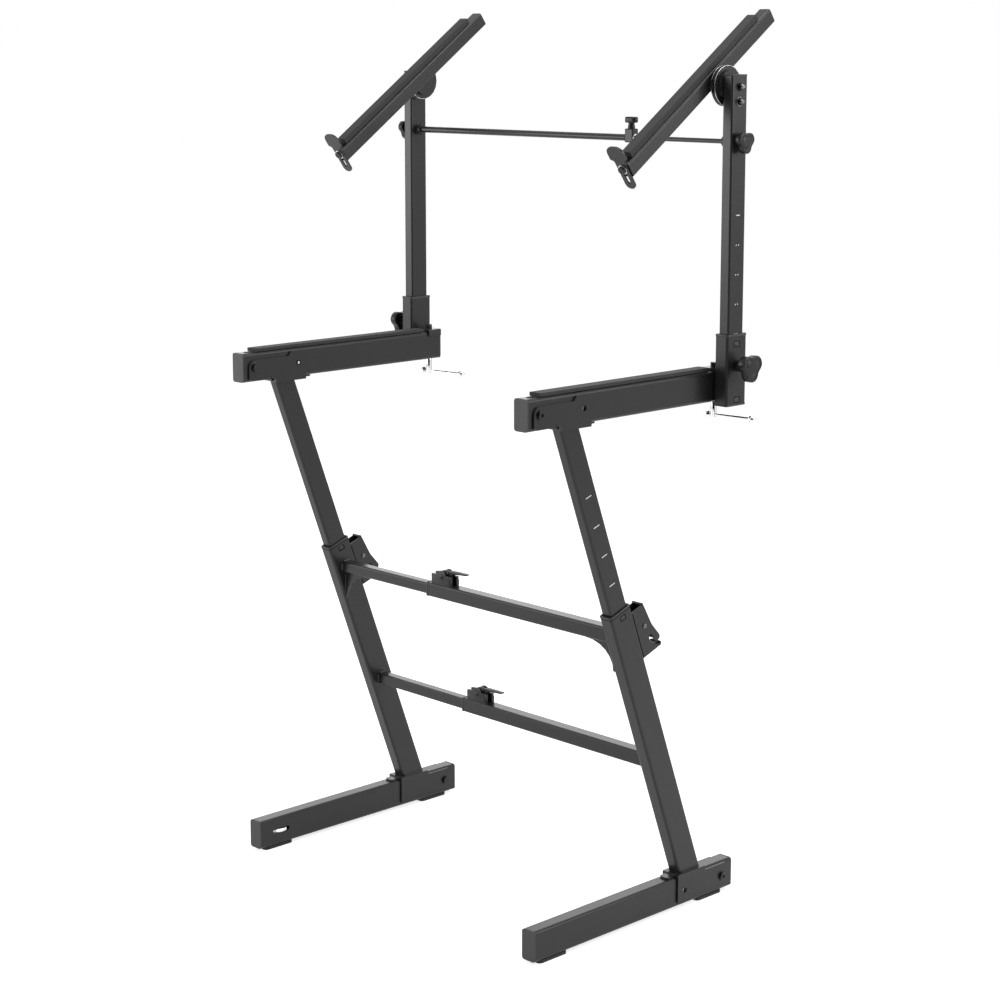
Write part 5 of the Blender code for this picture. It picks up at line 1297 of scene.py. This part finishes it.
class STAND_OT_rod_fittings(bpy.types.Operator):
    """Collars and screws at the cross rod's ends, and the rings of its clamp block"""
    bl_idname = "stand.rod_fittings"
    bl_label = "Cross rod fittings"

    def execute(self, context):
        face = SLEEVE_X - POST_WIDTH / 2 - FIT
        for label, side in SIDES:
            body = f"post_{label}"
            collar = stack([(0.0095, 0), (0.0095, 0.0016), (0.0088, 0.0022), (0.0088, 0.0092),
                            (0.0080, 0.0102)])
            hole = stack([(0.0036, -0.01), (0.0036, 0.02)])
            collar = carve(collar, hole)
            put(collar, pointing((side * face, SLEEVE_Y, ROD_Z), (-side, 0, 0)), f"rod_collar_{label}",
                "satin_coat", body)
            screw = stack(bolt_profile(0.0021, 0.0012, 0.0003), 16)
            put(screw, pointing((side * (face - 0.0060), SLEEVE_Y, ROD_Z - 0.0084), (0, 0, -1)),
                f"rod_collar_screw_{label}", "black_oxide", body)
        end = high_of("rod_outer").x
        mouth = ring(0.0062, 0.0043, 0.0012, 0.0003)
        put(mouth, pointing((end - 0.0002, SLEEVE_Y, ROD_Z), (1, 0, 0)), "rod_block_mouth", "zinc",
            "post_left")
        sleeve = ring(0.0066, 0.0050, 0.0040, 0.0006)
        put(sleeve, pointing((end - 0.0218, SLEEVE_Y, ROD_Z), (1, 0, 0)), "rod_block_collar", "satin_coat",
            "post_left")
        seat = ring(0.0062, 0.0034, 0.0008, 0.0002)
        block_top = ROD_Z + BLOCK_MIDDLE + BLOCK_HALF
        put(seat, upright(end - 0.009, SLEEVE_Y, block_top - 0.0006), "wing_seat", "zinc", "post_left")
        return {"FINISHED"}


BLOCK_MIDDLE = 0.0035
BLOCK_HALF = 0.0115


class STAND_OT_levelling(bpy.types.Operator):
    """The knurled levelling wheel in the left foot, with its threaded stem"""
    bl_idname = "stand.levelling"
    bl_label = "Levelling wheel"

    def execute(self, context):
        low, high = low_of("levelling_wheel_left"), high_of("levelling_wheel_left")
        middle = (low + high) / 2
        radius = (high.x - low.x) / 2
        wheel_z = (FOOT_LOW.z + FOOT_HIGH.z) / 2
        half = WHEEL_HALF
        outline = []
        for step in range(KNURLS * 2):
            turn = pi * step / KNURLS
            reach = radius - (KNURL_DEPTH if step % 2 else 0)
            outline.append((reach * cos(turn), reach * sin(turn)))
        wheel = rings_up(outline, ((0.30, -half), (0.94, -half), (1, -half + 0.0009), (1, half - 0.0009),
                                   (0.94, half), (0.45, half), (0.40, half + 0.0012), (0.20, half + 0.0012)))
        wheel.data.transform(Matrix.Translation((middle.x, middle.y, wheel_z)))
        stem = thread_end(0.0039, high.z - low.z - 0.0012)
        stem.data.transform(Matrix.Translation((middle.x, middle.y, low.z)))
        piece = put(merge([wheel, stem]), None, "levelling_wheel_knurled", "chrome", "levelling_wheel")
        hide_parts("levelling_wheel_left")
        return {"FINISHED"}


KNURLS = 44
KNURL_DEPTH = 0.0006
WHEEL_HALF = 0.003


# Panel and run

class STAND_PT_panel(bpy.types.Panel):
    """The stand's own tab"""
    bl_label = "Keyboard stand"
    bl_idname = "STAND_PT_panel"
    bl_space_type = "VIEW_3D"
    bl_region_type = "UI"
    bl_category = "Stand"

    def draw(self, context):
        layout = self.layout
        for group in (context.scene.stand_sizes, context.scene.stand_colours):
            for label in group.__annotations__:
                layout.prop(group, label)
        for step in STEPS:
            layout.operator(step.bl_idname)


STEPS = (STAND_OT_finishes,
         STAND_OT_stage,
         STAND_OT_marks,
         STAND_OT_knobs,
         STAND_OT_clamp_bars,
         STAND_OT_tilt_joints,
         STAND_OT_stops,
         STAND_OT_sleeves,
         STAND_OT_collars,
         STAND_OT_locks,
         STAND_OT_welds,
         STAND_OT_hinge_washers,
         STAND_OT_brace_fittings,
         STAND_OT_rod_fittings,
         STAND_OT_levelling)
GROUPS = (StandColours, StandSizes)


def register():
    """Add the classes and the scene's settings."""
    for kind in (*GROUPS, *STEPS, STAND_PT_panel):
        bpy.utils.register_class(kind)
    bpy.types.Scene.stand_colours = bpy.props.PointerProperty(type=StandColours)
    bpy.types.Scene.stand_sizes = bpy.props.PointerProperty(type=StandSizes)


def unregister():
    """Take the classes and the scene's settings away."""
    del bpy.types.Scene.stand_sizes
    del bpy.types.Scene.stand_colours
    for kind in reversed((*GROUPS, *STEPS, STAND_PT_panel)):
        bpy.utils.unregister_class(kind)


def main():
    """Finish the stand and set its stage."""
    register()
    bpy.context.scene.view_settings.view_transform = "Standard"
    for step in STEPS:
        group, call = step.bl_idname.split(".")
        result = getattr(getattr(bpy.ops, group), call)()
        if result != {"FINISHED"}:
            raise RuntimeError(f"{step.bl_label} did not finish")


if __name__ == "__main__":
    main()
